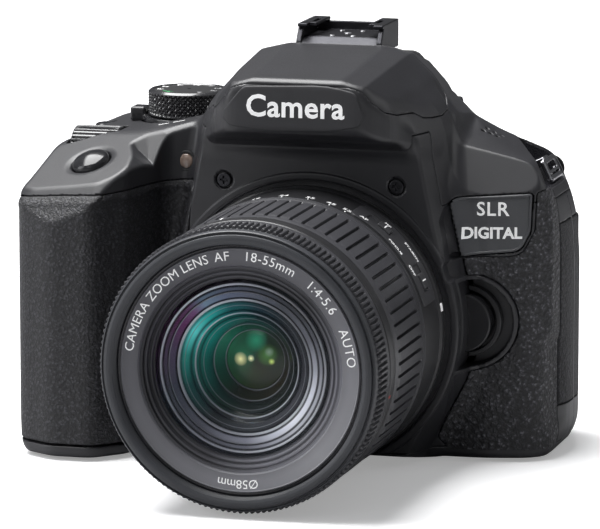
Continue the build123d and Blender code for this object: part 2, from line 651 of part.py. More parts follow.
with BuildPart() as zoom_ring:
    zoom_r = 33.0
    axis_ring(zoom_r, 28.2, -67.0, -40.2)
    cut_notches(at_y(-42.0), (0, AXIS_Z), zoom_r, 70, 0.8, 0.8, 22.0)

with BuildPart() as front_barrel:
    # sliding tube, band behind the focus ring, front wall, rim, glass holder
    axis_ring(27.9, 26.2, -80.4, -34.0)
    axis_ring(33.1, 27.6, -72.9, -67.2)
    axis_ring(32.6, 23.8, -81.2, -80.3)
    axis_ring(32.6, 29.0, LENS_FRONT, -81.0)
    axis_ring(26.4, GLASS_R, -81.0, -73.5)

with BuildPart() as focus_ring:
    focus_r = 33.1
    axis_ring(focus_r, 28.0, -80.2, -73.0)
    cut_notches(at_y(-73.8), (0, AXIS_Z), focus_r, 110, 0.7, 0.8, 5.6)

with BuildPart() as front_glass:
    rim_y, apex_y, dome_back_y = -79.0, -80.6, -78.0
    axis_disc(GLASS_R, rim_y, -74.5)
    # domed front, revolved about the optical axis
    with BuildSketch(Plane.YZ) as dome:
        with BuildLine():
            Polyline((rim_y, AXIS_Z + GLASS_R), (dome_back_y, AXIS_Z + GLASS_R),
                     (dome_back_y, AXIS_Z), (apex_y, AXIS_Z))
            ThreePointArc((apex_y, AXIS_Z), (-80.2, AXIS_Z + 11.5), (rim_y, AXIS_Z + GLASS_R))
        make_face()
    revolve(dome.sketch, axis=Axis((0, 0, AXIS_Z), (0, 1, 0)), revolution_arc=360)

with BuildPart() as focus_group:
    axis_ring(24.9, 14.0, -56.0, -50.0)
    axis_disc(14.0, -55.0, -52.0)

# ---------------------------------------------------------------- export
PIECES = dict(
    front_cover=front_cover, rear_cover=rear_cover, top_cover=top_cover,
    bottom_cover=bottom_cover, grip_rubber=grip_rubber, side_rubber=side_rubber,
    thumb_rubber=thumb_rubber, mount_ring=mount_ring, body_screws=body_screws,
    mirror_box=mirror_box, focusing_screen=focusing_screen, pentamirror=pentamirror,
    eyepiece_lens=eyepiece_lens, shutter_frame=shutter_frame, image_sensor=image_sensor,
    main_board=main_board, battery=battery, tripod_socket=tripod_socket, hot_shoe=hot_shoe,
    strap_lugs=strap_lugs, jack_block=jack_block, main_mirror=main_mirror,
    sub_mirror=sub_mirror, shutter_curtain=shutter_curtain, flash_head=flash_head,
    shutter_button=shutter_button, main_dial=main_dial, mode_dial=mode_dial,
    power_lever=power_lever, iso_button=iso_button, eyecup=eyecup, diopter_knob=diopter_knob,
    lcd_hinge=lcd_hinge, lcd_panel=lcd_panel, lcd_glass=lcd_glass, **rear_buttons,
    control_dial=control_dial, cross_keys=cross_keys, set_button=set_button,
    battery_door=battery_door, door_latch=door_latch, mic_door=side_door(MIC_DOOR_Y),
    hdmi_door=side_door(HDMI_DOOR_Y), lens_release_button=lens_release_button,
    lock_pin=lock_pin, lens_mount=lens_mount, fixed_barrel=fixed_barrel, zoom_ring=zoom_ring,
    front_barrel=front_barrel, focus_ring=focus_ring, front_glass=front_glass,
    focus_group=focus_group, af_switch=af_switch, stabilizer_switch=stabilizer_switch)

os.makedirs("parts", exist_ok=True)
for name, builder in PIECES.items():
    piece = builder.part
    piece.label = name
    export_step(piece, "parts/" + name + ".step")
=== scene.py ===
"""The lens points to -Y, +Z is up and the base lies at z = 0. The grip is on the -X side, the
connector doors are on the +X side. Shapes are in millimetres and become metres on meshing;
the stage, lights and camera are in metres.

Most bodies are distance fields: functions of x, y, z that are negative inside the piece.
Fields keep single precision, except that reading an Outline gives double precision. Offsets
added to such values go through grow() and deeper(), so that they are rounded alike.
"""
import math

import bmesh
import bpy
import numpy as np
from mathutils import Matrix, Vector

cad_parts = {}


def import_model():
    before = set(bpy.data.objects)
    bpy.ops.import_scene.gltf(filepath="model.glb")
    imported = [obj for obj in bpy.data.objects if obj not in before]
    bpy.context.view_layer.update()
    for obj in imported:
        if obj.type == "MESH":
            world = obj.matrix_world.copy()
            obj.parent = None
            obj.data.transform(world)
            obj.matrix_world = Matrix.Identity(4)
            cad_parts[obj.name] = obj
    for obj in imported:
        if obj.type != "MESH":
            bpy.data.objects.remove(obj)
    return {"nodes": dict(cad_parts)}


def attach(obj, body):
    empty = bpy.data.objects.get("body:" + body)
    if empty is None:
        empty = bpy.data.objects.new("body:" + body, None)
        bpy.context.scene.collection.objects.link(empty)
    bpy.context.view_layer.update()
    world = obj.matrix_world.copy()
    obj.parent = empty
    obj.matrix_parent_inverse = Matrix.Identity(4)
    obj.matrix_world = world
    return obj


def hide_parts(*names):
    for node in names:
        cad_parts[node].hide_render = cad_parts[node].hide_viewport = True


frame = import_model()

# The module's name depends on the Blender build.
try:
    import openvdb as vdb
except ImportError:
    import pyopenvdb as vdb

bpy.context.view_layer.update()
F32 = np.float32
MM = 0.001
FAR_INSIDE = F32(-50)

# ------------------------------------------------------------------ shared dimensions

LENS_Z = 33.4                   # height of the optical axis, which lies at x = 0
GAP = 0.10                      # joint between neighbouring pieces
BASE_SEAM, TOP_SEAM, REAR_SEAM = 3.0, 62.0, 14.0    # z, z and y where the covers meet
SHELL_STEP = 0.36
LENS_SEG = 220
BARREL_R = 33.0                 # radius on which barrel patches are laid out

MODE_DIAL = (-40.0, 16.0)       # x, y
ISO_BUTTON = (-61.0, 15.0)      # x, y
MAIN_DIAL = (0.0, 69.3)         # y, z
REAR_DIAL = (-44.0, 33.0)       # x, z
DIOPTER = (-20.6, 83.0)         # x, z
LAMP = (-33.7, 69.3)            # x, z
RELEASE_X = 36.0
FRONT_SCREW_X, FRONT_SCREW_Z = 21.0, 66.9
BASE_SCREWS = ((-30.0, 20.0), (46.0, 26.0), (46.0, -0.5), (-40.0, -14.0))   # x, y
MIC_DOOR, HDMI_DOOR = (8.2, 4.6), (21.2, 7.6)       # y centre, half width
REAR_BUTTONS = {                # x, z
    "menu": (46.0, 64.2), "info": (36.0, 64.9), "live_view": (-27.0, 67.6),
    "af_on": (-38.0, 67.6), "ae_lock": (-49.0, 67.6), "playback": (-36.0, 54.0),
    "delete": (-36.0, 12.0)}

# the tilted face that carries the shutter button
FACE_TILT, FACE_RISE = 0.22, 0.41                   # slope along x and along y
FACE_LENGTH = math.sqrt(1 + FACE_TILT ** 2 + FACE_RISE ** 2)
FACE_NORMAL = np.array([-FACE_TILT, -FACE_RISE, 1.0]) / FACE_LENGTH
FACE_ACROSS = np.array([1, 0, FACE_TILT])
FACE_ACROSS = FACE_ACROSS / np.linalg.norm(FACE_ACROSS)
FACE_AXES = (FACE_ACROSS, np.cross(FACE_NORMAL, FACE_ACROSS), FACE_NORMAL)
SHUTTER_BUTTON = np.array([-55.0, -17.0, 69.76])

# two directions across an axis, then the axis itself
UNIT_X, UNIT_Y, UNIT_Z = (1.0, 0, 0), (0, 1.0, 0), (0, 0, 1.0)
ALONG_X, ALONG_Y = (UNIT_Y, UNIT_Z, UNIT_X), (UNIT_X, UNIT_Z, UNIT_Y)
ALONG_Z = (UNIT_X, UNIT_Y, UNIT_Z)

# ------------------------------------------------------------------ outlines


def rounded(points, detail=7):
    """Corners (u, v) or (u, v, radius) to a point list with rounded corners."""
    corners = [np.array(p[:2], float) for p in points]
    out = []
    for i, corner in enumerate(corners):
        before, after = corners[i - 1] - corner, corners[(i + 1) % len(corners)] - corner
        before_len, after_len = np.linalg.norm(before), np.linalg.norm(after)
        before, after = before / before_len, after / after_len
        opening = math.acos(float(np.clip(before @ after, -1, 1)))
        radius = points[i][2] if len(points[i]) > 2 else 0.0
        if radius <= 0 or opening > math.pi - 0.01:
            out.append(corner)
            continue
        reach = min(radius / math.tan(opening / 2), 0.48 * before_len, 0.48 * after_len)
        radius = reach * math.tan(opening / 2)
        middle = (before + after) / np.linalg.norm(before + after)
        centre = corner + middle * (radius / math.sin(opening / 2))
        start, end = corner + before * reach - centre, corner + after * reach - centre
        angle = math.atan2(start[1], start[0])
        turn = math.atan2(end[1], end[0]) - angle
        turn = (turn + math.pi) % (2 * math.pi) - math.pi
        steps = max(2, int(detail * abs(turn) / 1.2) + 1)
        for j in range(steps + 1):
            a = angle + turn * j / steps
            out.append(centre + radius * np.array([math.cos(a), math.sin(a)]))
    return np.array(out)


def mirrored(half):
    """Half an outline followed by its mirror image in u, taken backwards."""
    return half + [(-u, v, radius) for u, v, radius in reversed(half)]


def polygon_distance(px, py, points):
    """Signed distance to a closed polygon, negative inside."""
    px, py = np.broadcast_arrays(px, py)
    shape = px.shape
    px, py = px.ravel().astype(F32), py.ravel().astype(F32)
    best = np.full(px.shape, 1e12, F32)
    inside = np.zeros(px.shape, bool)
    for i, (ax, ay) in enumerate(points):
        bx, by = points[(i + 1) % len(points)]
        ex, ey = bx - ax, by - ay
        wx, wy = px - F32(ax), py - F32(ay)
        t = np.clip((wx * F32(ex) + wy * F32(ey)) / F32(ex * ex + ey * ey + 1e-12), 0, 1)
        dx, dy = wx - t * F32(ex), wy - t * F32(ey)
        np.minimum(best, dx * dx + dy * dy, out=best)
        if ey != 0:
            crosses = ((ay <= py) & (by > py)) | ((by <= py) & (ay > py))
            inside ^= crosses & (px < ax + (py - ay) * (ex / ey))
    distance = np.sqrt(best)
    distance[inside] *= -1
    return distance.reshape(shape)


class Outline:
    """Distance to a rounded polygon, held on a fine grid and read by interpolation."""

    def __init__(self, points, low_corner, high_corner, step=0.2):
        self.low, self.step = low_corner, step
        self.count = [int(math.ceil((b - a) / step)) + 2
                      for a, b in zip(low_corner, high_corner)]
        gx, gy = (a + step * np.arange(n, dtype=F32) for a, n in zip(low_corner, self.count))
        self.grid = polygon_distance(gx[:, None], gy[None, :], rounded(points)).astype(F32)

    def __call__(self, a, b):
        u = (np.asarray(a, F32) - self.low[0]) / self.step
        v = (np.asarray(b, F32) - self.low[1]) / self.step
        u, v = np.broadcast_arrays(u, v)
        u = np.clip(u, 0, self.count[0] - 1.001)
        v = np.clip(v, 0, self.count[1] - 1.001)
        i, j = u.astype(np.int32), v.astype(np.int32)
        fu, fv = u - i, v - j
        g = self.grid
        return (g[i, j] * (1 - fu) * (1 - fv) + g[i + 1, j] * fu * (1 - fv)
                + g[i, j + 1] * (1 - fu) * fv + g[i + 1, j + 1] * fu * fv)


def smooth_table(places, values, sigma=1.5):
    """Interpolating function through a table, smoothed by a Gaussian of width sigma."""
    step = 0.25
    grid = np.arange(-90.0, 70.0, step)
    v = np.interp(grid, places, values)
    half = int(4 * sigma / step)
    kernel = np.exp(-0.5 * (np.arange(-half, half + 1) * step / sigma) ** 2)
    kernel /= kernel.sum()
    v = np.concatenate([np.full(half, v[0]), v, np.full(half, v[-1])])
    grid, v = grid.astype(F32), np.convolve(v, kernel, "valid").astype(F32)
    return lambda q: np.interp(q, grid, v).astype(F32)


# ------------------------------------------------------------------ field operations


def high(first, *others):
    """Greatest value: the overlap of fields."""
    for other in others:
        first = np.maximum(first, other)
    return first


def low(first, *others):
    """Least value: the union of fields."""
    for other in others:
        first = np.minimum(first, other)
    return first


def round_high(a, b, radius):
    """Overlap with a rounded edge."""
    radius = F32(radius)
    corner = np.sqrt(np.square(high(a + radius, 0)) + np.square(high(b + radius, 0)))
    return low(high(a, b), -radius) + corner


def round_low(a, b, radius):
    return -round_high(-a, -b, radius)


def soft_low(a, b, width):
    """Union with a soft blend."""
    blend = high(width - np.abs(a - b), 0) / width
    return low(a, b) - blend * blend * width * 0.25


def soft_high(a, b, width):
    return -soft_low(-a, -b, width)


def grow(field, amount):
    """Field of a shape made larger all round."""
    return field - F32(amount)


def deeper(field, depth):
    """Negative where a point lies deeper than depth under the surface."""
    return -field - F32(depth)


def recess(shape, window, depth):
    """Sink the surface by depth inside a window."""
    return high(shape, -high(window, deeper(shape, depth)))


def between(value, start, end):
    return high(start - value, value - end)


def away(u, v, cu, cv):
    """Distance from a centre in a plane."""
    return np.sqrt(np.square(u - cu) + np.square(v - cv))


def away_3d(u, v, w, cu, cv, cw):
    return np.sqrt(np.square(u - cu) + np.square(v - cv) + np.square(w - cw))


def lens_radius(x, z):
    return away(x, z, 0, LENS_Z)


def rod(u, v, w, centre, radius, span):
    """Cylinder about a centre in u, v, with its ends in w."""
    return high(away(u, v, *centre) - radius, between(w, *span))


def rectangle(u, v, half_u, half_v, corner):
    qu, qv = np.abs(u) - (half_u - corner), np.abs(v) - (half_v - corner)
    outside = np.sqrt(np.square(high(qu, 0)) + np.square(high(qv, 0)))
    return outside + low(high(qu, qv), 0) - corner


def box(x, y, z, span_x, span_y, span_z, corner=0.0):
    qx, qy, qz = (np.abs(value - (start + end) / 2) - ((end - start) / 2 - corner)
                  for value, (start, end) in zip((x, y, z), (span_x, span_y, span_z)))
    outside = np.sqrt(np.square(high(qx, 0)) + np.square(high(qy, 0)) + np.square(high(qz, 0)))
    return outside + low(high(qx, qy, qz), 0) - corner


# ------------------------------------------------------------------ meshes

MATERIALS = {}


def link(name, data):
    obj = bpy.data.objects.new(name, data)
    bpy.context.scene.collection.objects.link(obj)
    return obj


def fit(obj, body, material, slot="black_plastic", replaces=None):
    obj.data.materials.clear()
    obj.data.materials.append(MATERIALS[material])
    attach(obj, body)
    if replaces:
        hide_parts(replaces)


def field_mesh(name, field, low_corner, high_corner, step, adaptivity=0.0):
    """Closed mesh of field < 0, its vertices drawn onto the surface, normals from the field."""
    start, end = np.array(low_corner, float), np.array(high_corner, float)
    count = np.ceil((end - start) / step).astype(int) + 1
    gx, gy, gz = ((start[i] + step * np.arange(count[i])).astype(F32) for i in range(3))
    gx, gy, gz = gx[:, None, None], gy[None, :, None], gz[None, None, :]
    band = 3 * step
    values = np.broadcast_to(field(gx, gy, gz), tuple(count))
    values = np.ascontiguousarray(np.clip(values, -band, band), dtype=F32)
    for axis in range(3):
        sides = np.moveaxis(values, axis, 0)
        sides[0] = sides[-1] = band
    grid = vdb.FloatGrid(band)
    grid.copyFromArray(values, tolerance=0.0)
    points, tris, quads = grid.convertToPolygons(0.0, adaptivity=adaptivity)
    del values, grid
    verts = (start + step * np.asarray(points, float)).astype(F32)
    e = F32(0.5 * step)

    def gradient(v):
        x, y, z = v[:, 0], v[:, 1], v[:, 2]
        along_x = field(x + e, y, z) - field(x - e, y, z)
        along_y = field(x, y + e, z) - field(x, y - e, z)
        along_z = field(x, y, z + e) - field(x, y, z - e)
        return np.stack([along_x, along_y, along_z], 1) / (2 * e)

    for _ in range(2):
        distance = field(verts[:, 0], verts[:, 1], verts[:, 2])
        slope = gradient(verts)
        squared = np.maximum((slope * slope).sum(1), 0.2)
        move = np.clip(distance / squared, -0.5 * step, 0.5 * step)
        verts = (verts - slope * move[:, None]).astype(F32)
    slope = gradient(verts)
    length = np.sqrt((slope * slope).sum(1))
    normals = slope / np.maximum(length, 1e-6)[:, None]
    quads = np.asarray(quads, np.int64).reshape(-1, 4)
    tris = np.asarray(tris, np.int64).reshape(-1, 3)
    # wind the faces outward
    if len(quads):
        a, b, c = verts[quads[:, 0]], verts[quads[:, 1]], verts[quads[:, 2]]
        if (np.cross(b - a, c - a) * normals[quads[:, 0]]).sum() < 0:
            quads, tris = quads[:, ::-1], tris[:, ::-1]
    mesh = bpy.data.meshes.new(name)
    mesh.vertices.add(len(verts))
    mesh.vertices.foreach_set("co", (verts * F32(MM)).ravel())
    loops = np.concatenate([quads.ravel(), tris.ravel()]).astype(np.int32)
    mesh.loops.add(len(loops))
    mesh.loops.foreach_set("vertex_index", loops)
    nq, nt = len(quads), len(tris)
    mesh.polygons.add(nq + nt)
    starts = np.concatenate([np.arange(nq) * 4, nq * 4 + np.arange(nt) * 3]).astype(np.int32)
    mesh.polygons.foreach_set("loop_start", starts)
    mesh.polygons.foreach_set("use_smooth", np.ones(nq + nt, bool))
    mesh.update(calc_edges=True)
    mesh.validate()
    # validation may drop vertices, and then the normals no longer match them
    if len(mesh.vertices) == len(verts):
        mesh.normals_split_custom_set_from_vertices(normals.astype(F32))
    return link(name, mesh)


def solid(name, field, low_corner, high_corner, step, body, material, slot="black_plastic",
          replaces=None):
    """Small field piece, meshed on the grid step given."""
    fit(field_mesh(name, field, low_corner, high_corner, step), body, material, slot, replaces)


def list_mesh(name, verts, faces, sharp):
    """Smooth mesh from lists, split at edges sharper than an angle in degrees."""
    mesh = bpy.data.meshes.new(name)
    mesh.from_pydata([tuple(p) for p in (np.asarray(verts, float) * MM)], [], faces)
    mesh.validate()
    mesh.update()
    mesh.polygons.foreach_set("use_smooth", np.ones(len(mesh.polygons), bool))
    mesh.set_sharp_from_angle(angle=math.radians(sharp))
    obj = link(name, mesh)
    work = bmesh.new()
    work.from_mesh(mesh)
    bmesh.ops.recalc_face_normals(work, faces=work.faces)
    work.to_mesh(mesh)
    work.free()
    mesh.update()
    return obj


def turned(name, profile, body, material, slot="black_plastic", replaces=None,
           segments=LENS_SEG, sharp=30.0, centre=(0.0, 0.0, LENS_Z), axes=ALONG_Y, ribs=None):
    """Closed ring about an axis; profile rows are (axial, radius, corner radius)."""
    section = rounded(profile, 5)
    m = len(section)
    angles = np.linspace(0, 2 * np.pi, segments, endpoint=False)[:, None]
    axial = np.broadcast_to(section[None, :, 0], (segments, m))
    radius = np.broadcast_to(section[None, :, 1], (segments, m))
    if ribs is not None:
        radius = ribs(angles, axial, radius)
    origin, across, up, axis = (np.array(v, float) for v in (centre, *axes))
    verts = (origin + (radius * np.cos(angles))[..., None] * across
             + (radius * np.sin(angles))[..., None] * up + axial[..., None] * axis)
    faces = []
    for i in range(segments):
        after = (i + 1) % segments
        for j in range(m):
            k = (j + 1) % m
            faces.append((i * m + j, after * m + j, after * m + k, i * m + k))
    obj = list_mesh(name, verts.reshape(-1, 3), faces, sharp)
    fit(obj, body, material, slot, replaces)


def turned_disc(name, profile, segments):
    """Solid about the lens axis; its profile (y, radius) starts and ends on the axis."""
    rows = profile[1:-1]
    angles = np.linspace(0, 2 * np.pi, segments, endpoint=False)
    verts = [(0.0, profile[0][0], LENS_Z)]
    for y, radius in rows:
        verts += [(radius * math.cos(a), y, LENS_Z + radius * math.sin(a)) for a in angles]
    verts.append((0.0, profile[-1][0], LENS_Z))
    faces = []
    for k in range(segments):
        after = (k + 1) % segments
        faces.append((0, 1 + k, 1 + after))
        for i in range(len(rows) - 1):
            a, b = 1 + i * segments + k, 1 + i * segments + after
            faces.append((a, a + segments, b + segments, b))
        last = 1 + (len(rows) - 1) * segments
        faces.append((last + k, len(verts) - 1, last + after))
    return list_mesh(name, verts, faces, 30.0)


def fade(value, start, start_ramp, end, end_ramp):
    """One between start and end, falling to zero over the ramps."""
    return np.clip((value - start) / start_ramp, 0, 1) * np.clip((end - value) / end_ramp, 0, 1)


def ribbing(count, depth, groove_start, groove_ramp, window, swell=0.0):
    """Even grooves round a turned piece, where window(axial, radius) is above zero."""
    def ribs(angles, axial, radius):
        groove_place = np.abs((angles * count / (2 * np.pi)) % 1.0 - 0.5) * 2
        groove = np.clip((groove_place - groove_start) / groove_ramp, 0, 1)
        share = window(axial, radius)
        return radius - depth * groove * share + swell * share * (1 - groove)
    return ribs


def lettering(name, text, size, place, body, material="glowing_white_print", slot="black_plastic",
              depth=0.06, bold=0.0, spacing=1.0):
    """Thin solid lettering laid on a surface by place(u, v, height)."""
    curve = bpy.data.curves.new(name, "FONT")
    curve.body = text
    curve.size = size
    curve.align_x = "CENTER"
    curve.align_y = "CENTER"
    curve.space_character = spacing
    curve.resolution_u = 3
    curve.offset = bold
    curve.extrude = depth / 2
    flat = link(name + "_c", curve)
    graph = bpy.context.evaluated_depsgraph_get()
    mesh = bpy.data.meshes.new_from_object(flat.evaluated_get(graph))
    bpy.data.objects.remove(flat)
    bpy.data.curves.remove(curve)
    work = bmesh.new()
    work.from_mesh(mesh)
    bmesh.ops.remove_doubles(work, verts=work.verts, dist=0.0005)
    # long edges are split so that the letters can follow a curved surface
    long_edges = [edge for edge in work.edges if edge.calc_length() > size * 0.3]
    if long_edges:
        bmesh.ops.subdivide_edges(work, edges=long_edges, cuts=2)
        bmesh.ops.triangulate(work, faces=work.faces)
    for vert in work.verts:
        vert.co = Vector(place(vert.co.x, vert.co.y, vert.co.z + depth / 2)) * MM
    bmesh.ops.recalc_face_normals(work, faces=work.faces)
    work.to_mesh(mesh)
    work.free()
    mesh.name = name
    fit(link(name, mesh), body, material, slot)


# ------------------------------------------------------------------ materials


class Shader:
    """Material under construction; its texture coordinates are in millimetres."""

    def __init__(self, name):
        self.material = bpy.data.materials.new(name)
        MATERIALS[name] = self.material
        self.material.use_nodes = True
        self.tree = self.material.node_tree
        self.tree.nodes.clear()
        self.output = self.node("ShaderNodeOutputMaterial")
        coordinates = self.node("ShaderNodeTexCoord")
        mapping = self.node("ShaderNodeMapping")
        mapping.inputs["Scale"].default_value = (1000, 1000, 1000)
        self.link(coordinates.outputs["Object"], mapping.inputs[0])
        self.place = mapping.outputs[0]

    def node(self, kind):
        return self.tree.nodes.new(kind)

    def link(self, source, target):
        self.tree.links.new(source, target)

    def noise(self, scale, detail, roughness=0.6, distortion=0.0):
        n = self.node("ShaderNodeTexNoise")
        n.inputs["Scale"].default_value = scale
        n.inputs["Detail"].default_value = detail
        n.inputs["Roughness"].default_value = roughness
        n.inputs["Distortion"].default_value = distortion
        self.link(self.place, n.inputs["Vector"])
        return n.outputs["Fac"]

    def cells(self, scale):
        n = self.node("ShaderNodeTexVoronoi")
        n.inputs["Scale"].default_value = scale
        self.link(self.place, n.inputs["Vector"])
        return n.outputs["Distance"]

    def ramp(self, factor, stops):
        n = self.node("ShaderNodeValToRGB")
        elements = n.color_ramp.elements
        while len(elements) < len(stops):
            elements.new(0.5)
        for element, (position, colour) in zip(elements, stops):
            element.position = position
            element.color = (*colour, 1.0)
        self.link(factor, n.inputs[0])
        return n.outputs[0]

    def mottle(self, factor, dark, light):
        return self.ramp(factor, [(0.3, dark), (0.7, light)])

    def math(self, operation, *values, clamp=False):
        n = self.node("ShaderNodeMath")
        n.operation = operation
        n.use_clamp = clamp
        for i, value in enumerate(values):
            if hasattr(value, "links"):
                self.link(value, n.inputs[i])
            else:
                n.inputs[i].default_value = value
        return n.outputs[0]

    def vary(self, factor, amount, middle):
        """Value that swings by amount about a middle."""
        return self.math("ADD", self.math("MULTIPLY", factor, amount), middle - amount / 2)

    def distance(self, u, v):
        squares = [self.math("MULTIPLY", value, value) for value in (u, v)]
        return self.math("SQRT", self.math("ADD", *squares))

    def mix(self, factor, first, second, blend="MIX"):
        n = self.node("ShaderNodeMix")
        n.data_type = "RGBA"
        n.blend_type = blend
        for i, value in ((0, factor), (6, first), (7, second)):
            if hasattr(value, "links"):
                self.link(value, n.inputs[i])
            else:
                n.inputs[i].default_value = value
        return n.outputs[2]

    def bump(self, height, strength, depth, under=None):
        n = self.node("ShaderNodeBump")
        n.inputs["Strength"].default_value = strength
        n.inputs["Distance"].default_value = depth * MM
        self.link(height, n.inputs["Height"])
        if under is not None:
            self.link(under, n.inputs["Normal"])
        return n.outputs[0]

    def surface(self, inputs):
        n = self.node("ShaderNodeBsdfPrincipled")
        self.link(n.outputs[0], self.output.inputs[0])
        for key, value in inputs.items():
            if hasattr(value, "links"):
                self.link(value, n.inputs[key])
            else:
                n.inputs[key].default_value = value


def shade(colour, factor):
    return tuple(min(1.0, c * factor) for c in colour)


def plastic(name, colour, roughness, grain, bump, depth, specular=0.5, variation=0.18,
            coating=None):
    m = Shader(name)
    broad = m.noise(0.12, detail=3.0)
    fine = m.noise(grain, detail=4.0, roughness=0.7)
    tone = m.math("ADD", m.math("MULTIPLY", broad, 0.6), m.math("MULTIPLY", fine, 0.4))
    m.surface({
        "Base Color": m.mottle(tone, shade(colour, 1 - variation), shade(colour, 1 + variation)),
        "Roughness": m.vary(m.noise(grain * 0.6, detail=2.0), 0.18, roughness),
        "Normal": m.bump(fine, bump, depth), "Specular IOR Level": specular,
        **(coating or {})})


def leather(name, colour, cell, depth, roughness, specular, bump=1.0, painted_top_highlight=None):
    """Pebbled rubber: rounded grains in irregular cells, with painted shade in the hollows and a
    painted highlight on the tops, lightest in the given highlight colour.
    """
    m = Shader(name)
    grains, small_grains = m.cells(1 / cell), m.cells(1.9 / cell)
    lumps = m.noise(1.3 / cell, detail=3.0, roughness=0.6, distortion=0.6)
    height = m.math("SUBTRACT", m.math("MULTIPLY", lumps, 1.2), m.math("MULTIPLY", grains, 0.7))
    height = m.math("SUBTRACT", height, m.math("MULTIPLY", small_grains, 0.35))
    # colour by grain height: the dark hollows are painted shade, the light tops a painted
    # highlight
    if painted_top_highlight:
        stops = [(0.0, shade(colour, 0.45)), (0.14, colour), (0.28, shade(colour, 1.9)),
                 (0.44, painted_top_highlight)]
    else:
        stops = [(0.0, shade(colour, 0.55)), (0.16, colour), (0.38, shade(colour, 2.6))]
    normal = m.bump(height, bump, depth)
    normal = m.bump(m.noise(9.0, detail=2.0), strength=0.25, depth=0.02, under=normal)
    m.surface({"Base Color": m.ramp(height, stops),
               "Roughness": m.vary(m.noise(3.0, detail=2.0), 0.2, roughness),
               "Normal": normal, "Specular IOR Level": specular})


def metal(name, colour, roughness):
    m = Shader(name)
    m.surface({
        "Base Color": m.mottle(m.noise(0.4, detail=3.0), shade(colour, 0.86), colour),
        "Metallic": 1.0,
        "Roughness": m.vary(m.noise(2.5, detail=4.0, roughness=0.7), 0.16, roughness),
        "Normal": m.bump(m.noise(8.0, detail=3.0, roughness=0.7), strength=0.12, depth=0.01)})


def paint(name, colour, roughness, emission=0.0):
    m = Shader(name)
    tone = m.mottle(m.noise(3.0, detail=3.0), shade(colour, 0.9), colour)
    inputs = {"Base Color": tone, "Roughness": roughness,
              "Normal": m.bump(m.noise(9.0, detail=2.0), strength=0.1, depth=0.008)}
    # emission makes the paint glow: painted light on top of its colour
    if emission:
        inputs.update({"Emission Color": tone, "Emission Strength": emission})
    m.surface(inputs)


def clear_glass(name, tint):
    """See-through, with a reflection whose colour runs slantwise across the lens."""
    m = Shader(name)
    through = m.node("ShaderNodeBsdfTransparent")
    through.inputs["Color"].default_value = (*tint, 1)
    gloss = m.node("ShaderNodeBsdfGlossy")
    gloss.inputs["Roughness"].default_value = 0.02
    fresnel = m.node("ShaderNodeFresnel")
    fresnel.inputs["IOR"].default_value = 1.38
    split = m.node("ShaderNodeSeparateXYZ")
    m.link(m.place, split.inputs[0])
    height = m.math("SUBTRACT", split.outputs[2], LENS_Z)
    slant = m.math("ADD", m.math("MULTIPLY", split.outputs[0], -0.02),
                   m.math("MULTIPLY", height, 0.016))
    slant = m.math("ADD", slant, 0.5, clamp=True)
    colour = m.ramp(slant, [(0.0, (0.75, 0.8, 0.95)), (0.45, (0.35, 0.4, 0.55)),
                            (0.72, (0.25, 0.45, 0.6)), (0.86, (0.35, 0.2, 0.5)),
                            (1.0, (0.5, 0.15, 0.5))])
    m.link(colour, gloss.inputs["Color"])
    m.link(m.bump(m.noise(0.2, detail=1.0), strength=0.01, depth=0.02), gloss.inputs["Normal"])
    blend = m.node("ShaderNodeMixShader")
    m.link(m.math("MULTIPLY", fresnel.outputs[0], 0.40, clamp=True), blend.inputs[0])
    m.link(through.outputs[0], blend.inputs[1])
    m.link(gloss.outputs[0], blend.inputs[2])
    m.link(blend.outputs[0], m.output.inputs[0])


# name, colour, roughness, grain, bump strength, bump depth, specular level
for row in (
        ("body_plastic", (0.0185, 0.0185, 0.0215), 0.40, 4.5, 0.35, 0.016, 0.62),
        ("gloss_plastic", (0.018, 0.018, 0.020), 0.22, 6.0, 0.06, 0.006, 0.5),
        ("button_gloss", (0.014, 0.014, 0.016), 0.19, 6.0, 0.05, 0.006, 0.5),
        ("control_plastic", (0.022, 0.022, 0.024), 0.20, 6.0, 0.10, 0.01, 0.9),
        ("dark_plastic", (0.012, 0.012, 0.013), 0.5, 6.0, 0.2, 0.01, 0.5),
        ("name_plate", (0.028, 0.028, 0.031), 0.55, 8.0, 0.25, 0.01, 0.5),
        ("badge_plate", (0.075, 0.077, 0.083), 0.42, 8.0, 0.2, 0.01, 0.5),
        ("zoom_rubber", (0.050, 0.050, 0.056), 0.34, 5.0, 0.15, 0.012, 0.5),
        ("lens_barrel", (0.022, 0.022, 0.024), 0.36, 7.0, 0.12, 0.008, 0.5),
        ("lens_inner", (0.010, 0.010, 0.011), 0.34, 7.0, 0.1, 0.008, 0.5),
        ("lens_front_band", (0.040, 0.042, 0.048), 0.40, 7.0, 0.12, 0.008, 0.5),
        ("lens_baffle", (0.020, 0.020, 0.024), 0.28, 7.0, 0.06, 0.006, 0.5),
        ("switch_grey", (0.05, 0.05, 0.054), 0.42, 7.0, 0.12, 0.008, 0.5),
        ("switch_plate", (0.040, 0.040, 0.044), 0.44, 7.0, 0.1, 0.008, 0.5),
        ("battery_case", (0.05, 0.05, 0.055), 0.45, 5.0, 0.2, 0.01, 0.5)):
    plastic(*row)
plastic("sensor_cover", (0.05, 0.10, 0.09), roughness=0.12, grain=6.0, bump=0.05, depth=0.004,
        coating={"Coat Weight": 0.8, "Coat Roughness": 0.05})
plastic("circuit_board", (0.02, 0.12, 0.05), roughness=0.35, grain=1.6, bump=0.5, depth=0.05,
        variation=0.4)

# grain colours paint shade into the hollows and a highlight onto the tops; the leatherette's top
# colour is the brightest painted highlight
leather("grip_rubber", (0.018, 0.018, 0.021), cell=0.85, depth=0.24, roughness=0.50,
        specular=0.5)
leather("side_leatherette", (0.024, 0.024, 0.028), cell=1.15, depth=0.34, roughness=0.42,
        specular=0.55, painted_top_highlight=(0.15, 0.15, 0.165))
leather("soft_rubber", (0.024, 0.024, 0.026), cell=0.45, depth=0.05, roughness=0.6,
        specular=0.35, bump=0.7)
leather("door_rubber", (0.014, 0.014, 0.017), cell=0.95, depth=0.24, roughness=0.55,
        specular=0.4)
